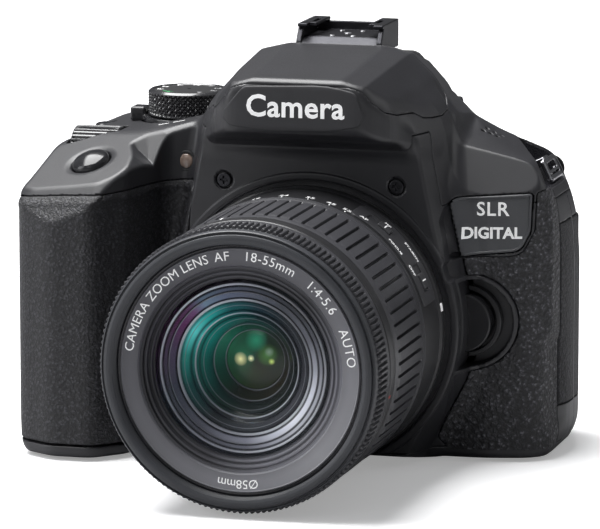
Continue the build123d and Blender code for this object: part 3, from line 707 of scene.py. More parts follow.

# white print that also glows: painted light that brightens it beyond the lamps
paint("glowing_white_print", (0.88, 0.88, 0.88), roughness=0.45, emission=0.30)
paint("print_grey", (0.42, 0.42, 0.43), roughness=0.5)
paint("print_red", (0.45, 0.03, 0.02), roughness=0.45)
paint("print_green", (0.05, 0.35, 0.12), roughness=0.5)

metal("steel", (0.58, 0.58, 0.60), roughness=0.32)
metal("shoe_metal", (0.05, 0.05, 0.055), roughness=0.42)
metal("lug_chrome", (0.42, 0.42, 0.44), roughness=0.22)
metal("screw_black", (0.05, 0.05, 0.055), roughness=0.38)
metal("mirror_silver", (0.85, 0.86, 0.88), roughness=0.05)

clear_glass("front_glass", tint=(0.97, 0.98, 0.98))
clear_glass("inner_glass", tint=(0.9, 0.95, 1.0))

# CAD pieces by material; the rest are body plastic
CAD_MATERIALS = {
    "steel": ("mount_ring", "lens_mount", "tripod_socket", "lock_pin"),
    "dark_plastic": ("mirror_box", "shutter_frame", "shutter_curtain", "jack_block"),
    "mirror_silver": ("main_mirror", "sub_mirror"),
    "sensor_cover": ("image_sensor",), "circuit_board": ("main_board",),
    "battery_case": ("battery",),
    "inner_glass": ("focusing_screen", "pentamirror", "eyepiece_lens", "focus_group")}
cad_lookup = {part: key for key, parts in CAD_MATERIALS.items() for part in parts}
for part, obj in frame["nodes"].items():
    obj.data.materials.clear()
    obj.data.materials.append(MATERIALS[cad_lookup.get(part, "body_plastic")])

# ------------------------------------------------------------------ body form

# Outline rows are (u, v, corner radius).
# whole body seen from above: x, y
PLAN = Outline([
    (-31, -7.5, 4), (-38.5, -10.0, 5), (-43.8, -25, 6), (-50.5, -32.2, 6), (-61, -32.2, 8),
    (-69.8, -27, 8), (-74.1, -14, 10), (-74.1, 8, 20), (-73, 24, 12), (-68, 32.5, 8),
    (-60, 36, 8), (46, 36, 10), (53.2, 32.6, 9), (57.0, 22, 14), (57.3, 10, 20),
    (54.4, -0.8, 1.6), (50.0, -5.0, 10), (40, -7.6, 30), (26, -8.0, 5)], (-90, -50), (75, 50))
# whole body seen from the front: x, z
ELEVATION = Outline([
    (-70.9, 0, 5), (-72.2, 8, 20), (-74.1, 40, 60), (-74.1, 56.2, 6), (-69.2, 65.6, 12),
    (-67.0, 71.6, 3.2), (-60, 74.6, 10), (-46, 75.9, 20), (-30, 79.2, 10), (-24, 80.6, 4),
    (24, 81.2, 4), (31, 80.3, 6), (37, 76.2, 16), (49.6, 70.6, 7), (52.4, 66.6, 20),
    (54.6, 61.4, 20), (56.4, 54.6, 30), (57.3, 45, 40), (57.3, 6.5, 6.5), (53.6, 0, 3.5)],
    (-90, -12), (75, 100))
# mount block: x, z
BLOCK = Outline(mirrored([
    (25.0, 82.3, 6.5), (27.0, 72, 30), (29.9, 57.8, 20), (35.0, 36, 14), (34, 22, 10),
    (24, 3, 8), (19, -2, 3)]), (-60, -15), (60, 100))
# raised deck and tilted face on the grip side: x, y
DECK = Outline([
    (-76, -20, 1), (-67.0, -25.4, 6), (-58.2, -27.2, 20), (-49.6, -28.6, 3.0),
    (-45.6, -26.4, 4), (-43.9, -23.0, 4), (-44.2, -18.0, 8), (-46.6, -11.9, 1.6),
    (-42.9, -9.4, 3), (-30.0, -9.0, 3), (-20, -9.0, 1), (-20, 30, 1), (-76, 30, 1)],
    (-90, -50), (0, 45))
# hump over the mount: x, z, then x, y, then y, z
HUMP_FRONT = Outline(mirrored([
    (-31.5, 50, 1), (-31.5, 74, 6), (-28.6, 84, 8), (-24.0, 90.9, 8), (-18.4, 96.0, 1.4),
    (-12.2, 97.5, 6)]), (-60, 40), (60, 110))
HUMP_PLAN = Outline(mirrored([
    (16.6, -33.4, 7), (21.4, -27.6, 8), (26.5, -14, 14), (31.5, 2, 14), (33.5, 36, 2)]),
    (-50, -50), (50, 50))
HUMP_SIDE = Outline([
    (-33.7, 80.9, 2.4), (-33.3, 93.0, 1.2), (-29, 97, 2), (-10, 105, 2), (30.5, 105, 2),
    (31.0, 98.0, 3), (36.0, 93.6, 3), (36.0, 55, 1), (-4, 55, 1), (-8, 76.0, 2),
    (-20, 76.6, 6), (-29.0, 78.6, 5)], (-50, 40), (50, 112))

# +X shoulder against x: height and forward fall of its top, place of the slanted wall under
# it, and the ridge behind which it falls to the rear
shoulder_top = smooth_table([-90, 30, 31, 50.7, 56], [90, 82, 75.0, 70.6, 69.0], 0.8)
shoulder_slope = smooth_table([-90, 30, 31, 37, 44, 52, 60],
                              [0, 0.10, 0.30, 0.20, 0.10, 0.02, 0.0])
shoulder_wall = smooth_table([-90, 31, 54, 60], [41.9, 41.3, 37.3, 36.3], 1.0)
ridge_z = smooth_table([-90, 24, 30.7, 37.1, 49.1, 52.4, 57, 60],
                       [90, 86, 80.6, 76.3, 70.8, 67.5, 60, 56])
ridge_y = smooth_table([-90, 24, 30.7, 37.1, 49.1, 60], [10, 12, 14, 18, 22, 23])
# how far the hump's roof falls, against y
roof_drop = smooth_table([-90, -34, -31, 3, 8, 31, 60], [4.9, 4.5, 4.2, 0.6, 0.9, 5.6, 11.4])
# top line of the grip rubber, against x
grip_top = smooth_table([-80, -74, -68, -58, -48, -43, -38, -31, -26],
                        [60.6, 61.0, 61.9, 62.9, 63.6, 64.3, 64.6, 65.0, 65.0])


def hump_field(x, y, z):
    narrowing = 1 + 0.0037 * high(5 - y, 0) + 0.0060 * high(y - 4, 0)
    shape = round_high(HUMP_FRONT(x * narrowing, z + roof_drop(y)), HUMP_PLAN(x, y), 2.5)
    return round_high(shape, HUMP_SIDE(y, z), 1.2)


def body_field(x, y, z):
    """Outer surface of the whole camera body."""
    lean = 0.28 * high(y - 19, 0) * np.clip((x - 20) / 20, 0, 1)
    shape = round_high(PLAN(x, y), ELEVATION(x + lean, z), 1.8)
    # +X shoulder: top plane falling forward, slanted wall, and the fall to the rear
    top = (z - shoulder_top(x) - (y + 2) * shoulder_slope(x)) * 0.96
    wall = -0.848 * y + 0.530 * z - shoulder_wall(x)
    shoulder = round_high(top, wall, 0.35)
    back = (z - ridge_z(x) + 0.30 * (y - ridge_y(x))) * 0.9
    shoulder = soft_high(shoulder, back, 1.0)
    shape = soft_high(shape, np.where(x > 24, shoulder, FAR_INSIDE), 0.6)
    # tilted face for the shutter button
    face = (z - 66.3 - FACE_RISE * (y + 30) - FACE_TILT * (x + 46.5)) * (1 / FACE_LENGTH)
    shape = soft_high(shape, np.where(x < -27, face, FAR_INSIDE), 0.9)
    # face and deck end in a crisp edge, and the wall under it slants out to the grip
    deck_z = low(66.3 + FACE_RISE * (y + 30) + FACE_TILT * (x + 46.5), 76.4)
    wall = (DECK(x, y) - 0.95 * (deck_z - z)) * F32(0.72)
    shape = soft_high(shape, np.where((x < -26) & (z > 56), wall, FAR_INSIDE), 0.5)
    # the lower +X corner is cut back ahead of the doors
    setback = np.interp(z, [0, 4, 9, 28, 36, 40], [2.6, 1.2, 0.0, 0.0, 2.6, 9.0]).astype(F32)
    corner = 0.919 * (x - 51.9) - 0.396 * (y + 4.0) - setback
    shape = soft_high(shape, np.where(x > 40, corner, FAR_INSIDE), 0.6)
    block = BLOCK(x, z) - 0.30 * np.clip(y + 20, 0, 12.5)
    block = high(round_high(block, -20 - y, 0.6), y + 2)
    shape = round_low(shape, block, 3.2)
    shape = soft_low(shape, hump_field(x, y, z), 5.0 * np.clip((34 - y) / 6, 0.06, 1))
    # the mount block's foot rises forward
    foot = np.where(x > -34, 0.20 * (-8.5 - y) - z, FAR_INSIDE)
    return soft_high(soft_high(shape, -z, 0.8), foot, 0.5)


def front_y(x, z, start, end, count, level=0.0):
    """First y from the front where the body field falls below level."""
    ys = np.linspace(start, end, count).astype(F32)
    values = body_field(np.full_like(ys, x), ys, np.full_like(ys, z))
    return float(ys[int(np.argmax(values < level))])


# ------------------------------------------------------------------ windows and cuts

# badge, and the upper and lower parts of the leatherette: x, z
BADGE = Outline([(30.9, 58.6, 1.0), (31.4, 63.0, 3.2), (50.2, 64.1, 0.6), (49.9, 55.2, 4.5),
                 (47.6, 50.4, 3.5), (32.8, 49.2, 0.6)], (20, 40), (65, 75), 0.1)
LEATHER_UPPER = Outline([
    (32.3, 49.0, 0.5), (33.3, 45.2, 1.5), (36.4, 43.9, 1), (60, 43.9, 0), (60, 66, 0),
    (51.2, 64.4, 1.0), (50.8, 55.0, 4.5), (48.0, 49.6, 3.5), (44, 49.0, 0)],
    (20, 0), (70, 80), 0.1)
LEATHER_LOWER = Outline([
    (33.5, 49.0, 0.5), (34.3, 45.0, 1.5), (36.2, 43.6, 0.5), (36.2, 22.9, 0.5),
    (34.6, 21.6, 1), (31.4, 12.0, 4), (28.8, 5.6, 1.5), (31.2, 2.0, 1.2), (58, 2.0, 0.5),
    (58, 49.0, 0.5)], (20, -5), (70, 60), 0.1)
# lower edge of the flash head: y stations and their z
FLASH_SEAM = ([-40, -32.7, -32.2, -31.2, -28.4, -24, -21.0, -17.2, -14.4, -11, -5.6, 0.5, 4.3,
               8],
              [92.5, 92.1, 90.6, 88.2, 85.6, 84.5, 84.4, 84.2, 82.7, 82.3, 82.2, 83.2, 85.3,
               87])


def flash_region(x, y, z):
    """Above the seam line and ahead of the hinge."""
    above = (np.interp(y, *FLASH_SEAM).astype(F32) - z) * 0.93
    return soft_high(above, (y - 5.8) + high(86.0 - z, 0) * 0.15, 1.6)


def lens_cut(x, y, z):
    r = lens_radius(x, z)
    return low(high(r - 27.3, y + 12), high(r - 34.25, y + 18.9))


def mount_bead(x, y, z):
    ring = np.abs(lens_radius(x, z) - 35.3) - 0.95
    return round_high(ring, np.abs(y + 18.5) - 2.2, 0.45)


def release_radius(x, z):
    return away(x, z, RELEASE_X, LENS_Z)


def release_recess(x, y, z):
    cut = round_high(release_radius(x, z) - 10.4, y + 4.5, 0.6)
    return high(cut, 36.25 - lens_radius(x, z))


def release_bead(x, y, z):
    bead = round_high(np.abs(release_radius(x, z) - 10.95) - 0.55, -y - 8.4, 0.3)
    return high(bead, y + 4, 36.25 - lens_radius(x, z))


def leather_window(x, y, z):
    window = low(LEATHER_UPPER(x, z), LEATHER_LOWER(x, z))
    return high(window, 11.5 - release_radius(x, z), y - 3.3)


def grip_window(x, y, z):
    return high(z - grip_top(x), 3.4 - z, x + 29.3 - (z - 62) * 0.055, y - 13.4)


def badge_seat(x, y, z):
    return high(grow(BADGE(x, z), 0.28), y - 3)


def door_window(x, y, z, door):
    centre, half = door
    return high(np.abs(y - centre) - half, np.abs(z - 34) - 22.0, 50 - x)


def lug_window_plus(x, y, z):
    wall = 0.896 * (x - 50.9) + 0.445 * (y - 0.5) - 0.17 * (71.0 - z)
    return round_high(round_high(-wall, 64.2 - z, 0.3), y - 24.0, 0.8)


def lug_window_minus(x, y, z):
    corner = round_high(x + 65.6, 63.4 - z, 0.6)
    return round_high(corner, np.abs(y - 15.5) - 7.4, 0.8)


def shared_cuts(x, y, z, shape):
    shape = high(shape, -lens_cut(x, y, z))
    shape = recess(shape, lug_window_plus(x, y, z), 4.2)
    return recess(shape, lug_window_minus(x, y, z), 3.8)


def block_zone(x, y, z):
    """Where the front cover rises above the shoulder seam: the mount block."""
    side = np.clip(x * 0.25, 0, 1)
    return high(grow(BLOCK(x, z), 1.7) - 4.3 * side, y - (-3.0 - 11.4 * side), z - 79.4,
                -21.0 - y)


def screen_bay(x, y, z, shape, skin, floor_z, opening_z):
    """Floor behind the rear screen and the opening over it."""
    floor = box(x, y, z, (-26.4, 57.0), (31.5, 34.0), floor_z, 0.2)
    shape = low(shape, high(floor, grow(skin, -0.9)))
    return high(shape, -box(x, y, z, (-24.4, 55.2), (33.2, 50), opening_z, 0.8))


def face_place(x, y, z):
    """Height over the tilted face and distance from the shutter button's axis."""
    ux, uy, uz = (value - F32(c) for value, c in zip((x, y, z), SHUTTER_BUTTON))
    nx, ny, nz = (F32(c) for c in FACE_NORMAL)
    height = ux * nx + uy * ny + uz * nz
    return height, np.sqrt(high(ux * ux + uy * uy + uz * uz - height * height, 1e-6))


# ------------------------------------------------------------------ covers and skins


def front_cover(x, y, z):
    skin = body_field(x, y, z)
    shape = low(skin, mount_bead(x, y, z))
    shape = low(shape, high(release_bead(x, y, z), grow(skin, 0.9)))
    shape = high(shape, -release_recess(x, y, z))
    shape = recess(shape, grip_window(x, y, z) - GAP, 1.25)
    shape = recess(shape, grow(leather_window(x, y, z), GAP), 0.85)
    shape = recess(shape, badge_seat(x, y, z), 1.3)
    shape = recess(shape, door_window(x, y, z, MIC_DOOR) - 0.12, 1.7)
    shape = shared_cuts(x, y, z, shape)
    for screw_x in (-FRONT_SCREW_X, FRONT_SCREW_X):
        place = (screw_x, FRONT_SCREW_Z)
        shape = high(shape, -rod(x, z, y, place, 2.05, (-21.5, -19.0)))
        sink = round_high(away(x, z, *place) - 2.35, np.abs(y + 20.2) - 0.45, 0.2)
        shape = high(shape, -sink)
    shape = high(shape, deeper(skin, 4.9), y - REAR_SEAM, (BASE_SEAM + GAP / 2) - z)
    keep = low(z - (TOP_SEAM - GAP / 2), high(grow(block_zone(x, y, z), -GAP / 2), 61 - z))
    return round_high(shape, keep, 0.25)


def top_cover(x, y, z):
    skin = body_field(x, y, z)
    shape = shared_cuts(x, y, z, skin)
    # under the flash head the roof steps down by the head's thickness
    shape = high(shape, -high(flash_region(x, y, z) - GAP, deeper(skin, 2.4)))
    shape = high(shape, deeper(skin, 5.2))
    # lined trough that the rear edge of the flash head turns in
    hinge = away(y, z, 1.0, 96.0)
    shape = high(shape, -high(hinge - 7.7, np.abs(x) - 24.0, y - 5.9))
    lining = high(np.abs(hinge - 8.2) - 0.5, z - 92.0, np.abs(x) - 25.0, grow(skin, -2.5),
                  y - 5.9)
    shape = low(shape, lining)
    shape = recess(shape, grip_window(x, y, z) - GAP, 1.25)
    shape = recess(shape, badge_seat(x, y, z), 1.3)
    shape = recess(shape, grow(leather_window(x, y, z), GAP), 0.85)
    # eyepiece opening
    shape = high(shape, -box(x, y, z, (-11.0, 11.0), (30, 40), (78.5, 90.5), 1.0))
    # microphone holes on the shoulder
    for i in range(3):
        for j in range(2):
            hole = away(x, y, 34.9 + 1.75 * i + 0.5 * j, 9.4 + 0.2 * i + 2.2 * j)
            shape = high(shape, -high(hole - (0.5 - 0.1 * j), 70 - z, deeper(skin, 1.4)))
    # shutter button bore and its shallow dish
    height, r = face_place(x, y, z)
    shape = high(shape, -round_high(r - 5.05, -4 - height, 0.3))
    shape = soft_high(shape, -(away(r, height, 0, 17.0) - 18.1), 0.25)
    shape = high(shape, -rod(y, z, x, MAIN_DIAL, 7.0, (-64.4, -51.6)))
    # mode dial seat
    seat = round_high(away(x, y, *MODE_DIAL) - 12.6, z - 75.1, 0.3)
    shape = low(shape, high(seat, 71 - z))
    shape = high(shape, -rod(x, y, z, MODE_DIAL, 11.6, (75.05, 100.0)))
    shape = high(shape, -rod(x, y, z, ISO_BUTTON, 2.8, (60, 90)))
    for place in REAR_BUTTONS.values():
        if place[1] > TOP_SEAM:
            shape = high(shape, -rod(x, z, y, place, 2.6, (30.0, 40.0)))
    shape = high(shape, -rod(x, z, y, DIOPTER, 3.45, (34.5, 40)))
    shape = screen_bay(x, y, z, shape, skin, (61.0, 64.0), (50, 62.4))
    keep = low(z - (TOP_SEAM + GAP / 2), grow(block_zone(x, y, z), GAP / 2))
    return round_high(shape, -keep, 0.25)


def rear_cover(x, y, z):
    skin = body_field(x, y, z)
    shape = high(shared_cuts(x, y, z, skin), deeper(skin, 2.6))
    shape = screen_bay(x, y, z, shape, skin, (4.2, 62.5), (5.6, 70))
    shape = high(shape, -rod(x, z, y, REAR_DIAL, 13.3, (34.0, 50)))
    for place in REAR_BUTTONS.values():
        if place[1] < TOP_SEAM:
            shape = high(shape, -rod(x, z, y, place, 2.6, (30, 40)))
    for door in (HDMI_DOOR, MIC_DOOR):
        shape = recess(shape, door_window(x, y, z, door) - 0.12, 1.7)
    shape = round_high(shape, z - (TOP_SEAM - GAP / 2), 0.25)
    shape = round_high(shape, (REAR_SEAM + GAP) - y, 0.1)
    return high(shape, (BASE_SEAM + GAP / 2) - z)


def base_cover(x, y, z):
    shape = high(body_field(x, y, z), -lens_cut(x, y, z))
    shape = round_high(shape, z - (BASE_SEAM - GAP / 2), 0.25)
    # battery opening
    shape = high(shape, -box(x, y, z, (-67.2, -49.0), (-23.2, 13.2), (-2, 4), 0.6))
    # tripod socket hole
    r = away(x, y, 0, 0)
    shape = high(shape, -(r - 5.02))
    for place in BASE_SCREWS:
        shape = high(shape, -rod(x, y, z, place, 1.9, (-2, 1.2)))
    # shallow groove round the socket
    return high(shape, -round_high(np.abs(r - 12.0) - 0.35, z - 0.3, 0.1))


def flash_head(x, y, z):
    skin = body_field(x, y, z)
    shape = round_high(skin, flash_region(x, y, z) + GAP / 2, 0.3)
    return high(shape, deeper(skin, 2.2))


def grip_skin(x, y, z):
    """Grip rubber, with a raised band along its top line."""
    skin = body_field(x, y, z)
    band = np.exp(-np.square((z - grip_top(x) + 1.5) / 0.9)) * 0.28
    shape = round_high(skin - band, grip_window(x, y, z), 0.5)
    return high(shape, deeper(skin, 1.15))


def side_skin(x, y, z):
    skin = body_field(x, y, z)
    return high(round_high(skin, leather_window(x, y, z), 0.3), deeper(skin, 0.78))


def badge_plate(x, y, z):
    skin = body_field(x, y, z)
    window = high(BADGE(x, z), y - 3)
    rim = high(window, deeper(window, 0.55))
    shape = round_high(grow(skin, -0.28), window, 0.15)
    shape = low(shape, round_high(grow(skin, 0.05), rim, 0.15))
    return high(shape, deeper(skin, 1.25))


def door_skin(door):
    def field(x, y, z):
        skin = body_field(x, y, z)
        shape = round_high(grow(skin, 0.05), door_window(x, y, z, door), 0.5)
        return high(shape, deeper(skin, 1.6))
    return field


# name, field, grid corners, grid step, body, material, slot, CAD piece replaced
for name, field, start, end, step, *looks in (
        ("front_shell", front_cover, (-76, -34.5, 2), (60, 15, 81), SHELL_STEP,
         "body", "body_plastic", "black_plastic", "front_cover"),
        ("top_shell", top_cover, (-76, -35.5, 60), (60, 37.5, 99), SHELL_STEP,
         "body", "body_plastic", "black_plastic", "top_cover"),
        ("rear_shell", rear_cover, (-76, 13, 2), (60, 37.5, 63), SHELL_STEP,
         "body", "body_plastic", "black_plastic", "rear_cover"),
        ("base_shell", base_cover, (-76, -34.5, -1), (60, 37.5, 4), SHELL_STEP,
         "body", "body_plastic", "black_plastic", "bottom_cover"),
        ("flash_shell", flash_head, (-31, -35.5, 80), (31, 8, 99), SHELL_STEP,
         "flash", "body_plastic", "black_plastic", "flash_head"),
        ("grip_skin", grip_skin, (-76, -34.5, 2), (-27, 15, 67), SHELL_STEP,
         "body", "grip_rubber", "grip_rubber", "grip_rubber"),
        ("side_skin", side_skin, (26, -10, 0), (60, 6, 68), SHELL_STEP * 0.85,
         "body", "side_leatherette", "grip_rubber", "side_rubber"),
        ("badge_plate", badge_plate, (29, -10, 47), (53, 2, 67), 0.25,
         "body", "badge_plate", "control_plastic", None),
        ("mic_door_skin", door_skin(MIC_DOOR), (48, 2, 10), (60, 15, 58), SHELL_STEP * 0.9,
         "mic_flap", "door_rubber", "soft_rubber", "mic_door"),
        ("hdmi_door_skin", door_skin(HDMI_DOOR), (48, 12, 10), (60, 31, 58), SHELL_STEP * 0.9,
         "hdmi_flap", "door_rubber", "soft_rubber", "hdmi_door")):
    fit(field_mesh(name, field, start, end, step), *looks)

# ------------------------------------------------------------------ lens barrel


def on_barrel(angle_deg, centre_y, radius):
    """Place for text on the barrel: u clockwise seen from the front, v towards the body."""
    centre_angle = math.radians(angle_deg)

    def place(u, v, height):
        a = centre_angle - u / radius
        return ((radius + height) * math.cos(a), centre_y + v,
                LENS_Z + (radius + height) * math.sin(a))
    return place


def barrel_patch(name, angle_deg, half_width, span_y, span_r, corner, edge, step, body,
                 material, slot="black_plastic", replaces=None, carve=None):
    """Rounded plate wrapped on a cylinder about the lens axis."""
    centre = math.radians(angle_deg)

    def field(x, y, z):
        r, angle = lens_radius(x, z), np.arctan2(z - LENS_Z, x)
        u = (angle - centre) * BARREL_R
        flat = rectangle(u, y - sum(span_y) / 2, half_width, (span_y[1] - span_y[0]) / 2,
                         corner)
        thickness = np.abs(r - sum(span_r) / 2) - (span_r[1] - span_r[0]) / 2
        shape = round_high(flat, thickness, edge)
        return carve(shape, u, y, r) if carve else shape

    rim = [(r, centre + s * half_width / BARREL_R)
           for r in span_r for s in (-1, -0.5, 0, 0.5, 1)]
    xs = [r * math.cos(a) for r, a in rim]
    zs = [LENS_Z + r * math.sin(a) for r, a in rim]
    obj = field_mesh(name, field, (min(xs) - 0.8, span_y[0] - 0.8, min(zs) - 0.8),
                     (max(xs) + 0.8, span_y[1] + 0.8, max(zs) + 0.8), step, adaptivity=0.004)
    fit(obj, body, material, slot, replaces)


def switch_pockets(shape, u, y, r):
    for offset in (7.6, -7.9):
        pocket = rectangle(u - offset, y + 32.8, 3.3, 2.1, 0.4)
        shape = high(shape, -round_high(pocket, 33.28 - r, 0.1))
    return shape


turned("fixed_barrel_skin", [
    (-22.15, 25.5, 0), (-22.15, 33.0, 0.5), (-23.2, 33.6, 0.4), (-25.4, 33.6, 0.4),
    (-25.9, 33.15, 0.2), (-39.75, 33.15, 0.35), (-39.75, 32.3, 0), (-40.05, 32.3, 0),
    (-40.05, 28.4, 0), (-60, 28.4, 0), (-60, 27.9, 0), (-36, 27.9, 0), (-30, 25.5, 0)],
    "lens", "lens_barrel", replaces="fixed_barrel")

barrel_patch("switch_plate", 39.5, 14.2, (-38.6, -27.2), (32.9, 33.62), 1.6, 0.2, 0.2,
             "lens", "switch_plate", "switch_grey", carve=switch_pockets)
# switch, angle, body
SWITCHES = (("af_switch", 50.2, "af_slider"), ("stabilizer_switch", 24.3, "is_slider"))
for switch, angle, body in SWITCHES:
    barrel_patch(switch + "_knob", angle, 1.75, (-34.6, -31.0), (33.0, 34.0), 0.35, 0.2, 0.13,
                 body, "switch_grey", "switch_grey", switch)
for switch, angle, body in SWITCHES:
    barrel_patch(switch + "_line", angle, 0.16, (-34.2, -31.4), (33.9, 34.06), 0.08, 0.04,
                 0.08, body, "glowing_white_print", "switch_grey")

# words beside the switches: text, angle, y, size
for i, (text, angle, y, size) in enumerate((
        ("AF", 58.5, -36.9, 1.9), ("MF", 50.5, -29.2, 1.5), ("ON", 33.5, -29.2, 1.5),
        ("OFF", 30.0, -36.9, 1.7), ("FOCUS", 41.5, -36.9, 1.5), ("STAB", 38.0, -29.2, 1.5))):
    lettering("barrel_print_%d" % i, text, size, on_barrel(angle, y, 33.60), "lens",
              slot="switch_grey", depth=0.05, bold=0.03)
# focal lengths and their angles
for i, (text, angle) in enumerate((("55", 66.0), ("45", 73.0), ("35", 82.0), ("24", 93.0),
                                   ("18", 105.0))):
    lettering("focal_number_%d" % i, text, 2.3, on_barrel(angle, -36.6, 33.13), "lens",
              depth=0.05, bold=0.02)
    barrel_patch("focal_tick_%d" % i, angle, 0.16, (-39.2, -38.3), (33.1, 33.2), 0.06, 0.03,
                 0.08, "lens", "glowing_white_print")
barrel_patch("mount_index", 10.5, 0.95, (-25.0, -23.4), (33.45, 33.72), 0.15, 0.06, 0.1,
             "lens", "glowing_white_print")


def stations(radius, *runs):
    """Evenly spaced profile points at one radius, for runs of (start, end, count)."""
    return [(float(v), radius) for run in runs for v in np.linspace(*run)]


# zoom ring: wide flat ribs with cut ends
ZOOM_RIBS = 70
turned("zoom_ring_skin",
       [(-67.0, 28.6, 0), (-67.0, 32.7, 0.25)]
       + stations(32.95, (-65.4, -63.0, 9), (-62, -44.6, 12), (-43.8, -41.4, 9))
       + [(-41.0, 32.95, 0), (-40.75, 33.35, 0), (-40.35, 33.35, 0.15), (-40.2, 33.0, 0),
          (-40.2, 28.6, 0)],
       "zoom", "zoom_rubber", "ring_rubber", "zoom_ring",
       segments=ZOOM_RIBS * 14, sharp=22,
       ribs=ribbing(ZOOM_RIBS, depth=0.85, groove_start=0.76, groove_ramp=0.09, swell=0.18,
                    window=lambda y, r: (r > 32.2) * fade(y, -64.3, 0.9, -42.6, 0.9)))
barrel_patch("zoom_index", 105.0, 0.22, (-66.6, -64.8), (32.9, 33.05), 0.08, 0.03, 0.08,
             "zoom", "glowing_white_print", "ring_rubber")

# focus ring: narrow ribs with rounded ends
FOCUS_RIBS = 150
turned("focus_ring_skin",
       [(-80.95, 30.4, 0), (-80.95, 32.9, 0.1)]
       + stations(33.0, (-80.8, -79.6, 5), (-78.0, -76.6, 3), (-75.8, -74.6, 8))
       + [(-73.2, 33.0, 0.15), (-73.0, 32.6, 0), (-73.0, 28.4, 0), (-80.2, 28.4, 0),
          (-80.2, 30.4, 0)],
       "focus", "zoom_rubber", "ring_rubber", "focus_ring",
       segments=FOCUS_RIBS * 12, sharp=22,
       ribs=ribbing(FOCUS_RIBS, depth=0.62, groove_start=0.45, groove_ramp=0.2, swell=0.10,
                    window=lambda y, r: (r > 32.2) * fade(y, -81.2, 0.3, -74.9, 0.5)))

turned("inner_sleeve",
       [(-73.3, 26.4, 0), (-73.3, 27.8, 0), (-34.3, 27.8, 0.2), (-34.3, 26.4, 0)],
       "inner_barrel", "lens_inner")
turned("smooth_band", [
    (-72.85, 27.8, 0), (-72.85, 32.7, 0.3), (-72.3, 33.05, 0.2), (-67.9, 33.05, 0.3),
    (-67.25, 32.5, 0.2), (-67.25, 27.8, 0)], "inner_barrel", "lens_barrel")

# filter thread inside the front rim
THREAD_PITCH = 0.48
thread = []
thread_y = -83.35
while thread_y < -81.2:
    thread += [(thread_y, 29.42, 0), (thread_y + THREAD_PITCH / 2, 29.12, 0)]
    thread_y += THREAD_PITCH
turned("front_rim", [
    (-80.35, 28.2, 0), (-80.35, 30.2, 0), (-81.1, 30.2, 0), (-81.1, 32.2, 0.1),
    (-81.5, 32.45, 0.1), (-82.9, 32.25, 0.3), (-83.3, 31.95, 0.12), (-82.75, 31.8, 0.05),
    (-82.75, 31.55, 0.05), (-83.55, 31.35, 0.2), (-83.8, 30.7, 0.25), (-83.8, 30.1, 0.2),
    (-83.5, 29.45, 0.1)] + thread + [(-81.0, 29.1, 0), (-81.0, 28.2, 0)],
    "inner_barrel", "lens_front_band", replaces="front_barrel", sharp=22)
barrel_patch("hood_index", -11.0, 0.35, (-72.0, -70.6), (32.95, 33.12), 0.12, 0.04, 0.08,
             "inner_barrel", "print_red")

# ------------------------------------------------------------------ lens front


def painted_light_ring_material(name, painted_light_by_angle, painted_light_by_radius, radius_scale, roughness=0.22, coat=0.12,
                   emission=0.75, specular=0.10, painted_glints=()):
    """Coated annulus glowing with painted light: colour by angle about the lens axis, times a
    profile by radius, paints highlights, shade and reflections onto it.

    Seen from the front, 0.5 on the angle ramp is the upper left and 0 and 1 meet at the
    lower right. Painted glints are (x, z, radius, colour): spots of painted reflection.
    """
    m = Shader(name)
    split = m.node("ShaderNodeSeparateXYZ")
    m.link(m.place, split.inputs[0])
    dx = m.math("SUBTRACT", split.outputs[0], 0.0)
    dz = m.math("SUBTRACT", split.outputs[2], LENS_Z)
    cosine, sine = math.cos(math.radians(135)), math.sin(math.radians(135))

    def turned_sum(factor_x, factor_z):
        return m.math("ADD", m.math("MULTIPLY", dx, factor_x), m.math("MULTIPLY", dz, factor_z))

    angle = m.math("ARCTAN2", turned_sum(-sine, cosine), turned_sum(cosine, sine))
    share = m.math("ADD", m.math("MULTIPLY", angle, 0.5 / math.pi), 0.5, clamp=True)
    ring = m.ramp(m.math("DIVIDE", m.distance(dx, dz), radius_scale),
                  [(position, (v, v, v)) for position, v in painted_light_by_radius])
    colour = m.mix(1.0, m.ramp(share, painted_light_by_angle), ring, blend="MULTIPLY")
    # painted glints: spots of painted reflection blended over the colour
    for spot_x, spot_z, spot_radius, spot_colour in painted_glints:
        reach = m.distance(m.math("SUBTRACT", split.outputs[0], spot_x),
                           m.math("SUBTRACT", split.outputs[2], spot_z))
        weight = m.ramp(m.math("DIVIDE", reach, spot_radius),
                        [(0.0, (1, 1, 1)), (0.35, (0.6, 0.6, 0.6)), (1.0, (0, 0, 0))])
        colour = m.mix(weight, colour, (*spot_colour, 1))
    # the painted light is both base colour and emission, so the ring glows
    m.surface({"Base Color": colour, "Roughness": roughness, "Coat Weight": coat,
               "Coat Roughness": 0.04,
               "Normal": m.bump(m.noise(0.4, detail=1.0), strength=0.02, depth=0.02),
               "Emission Color": colour, "Emission Strength": emission,
               "Specular IOR Level": specular})


EVEN = [(0.0, 1.0), (1.0, 1.0)]
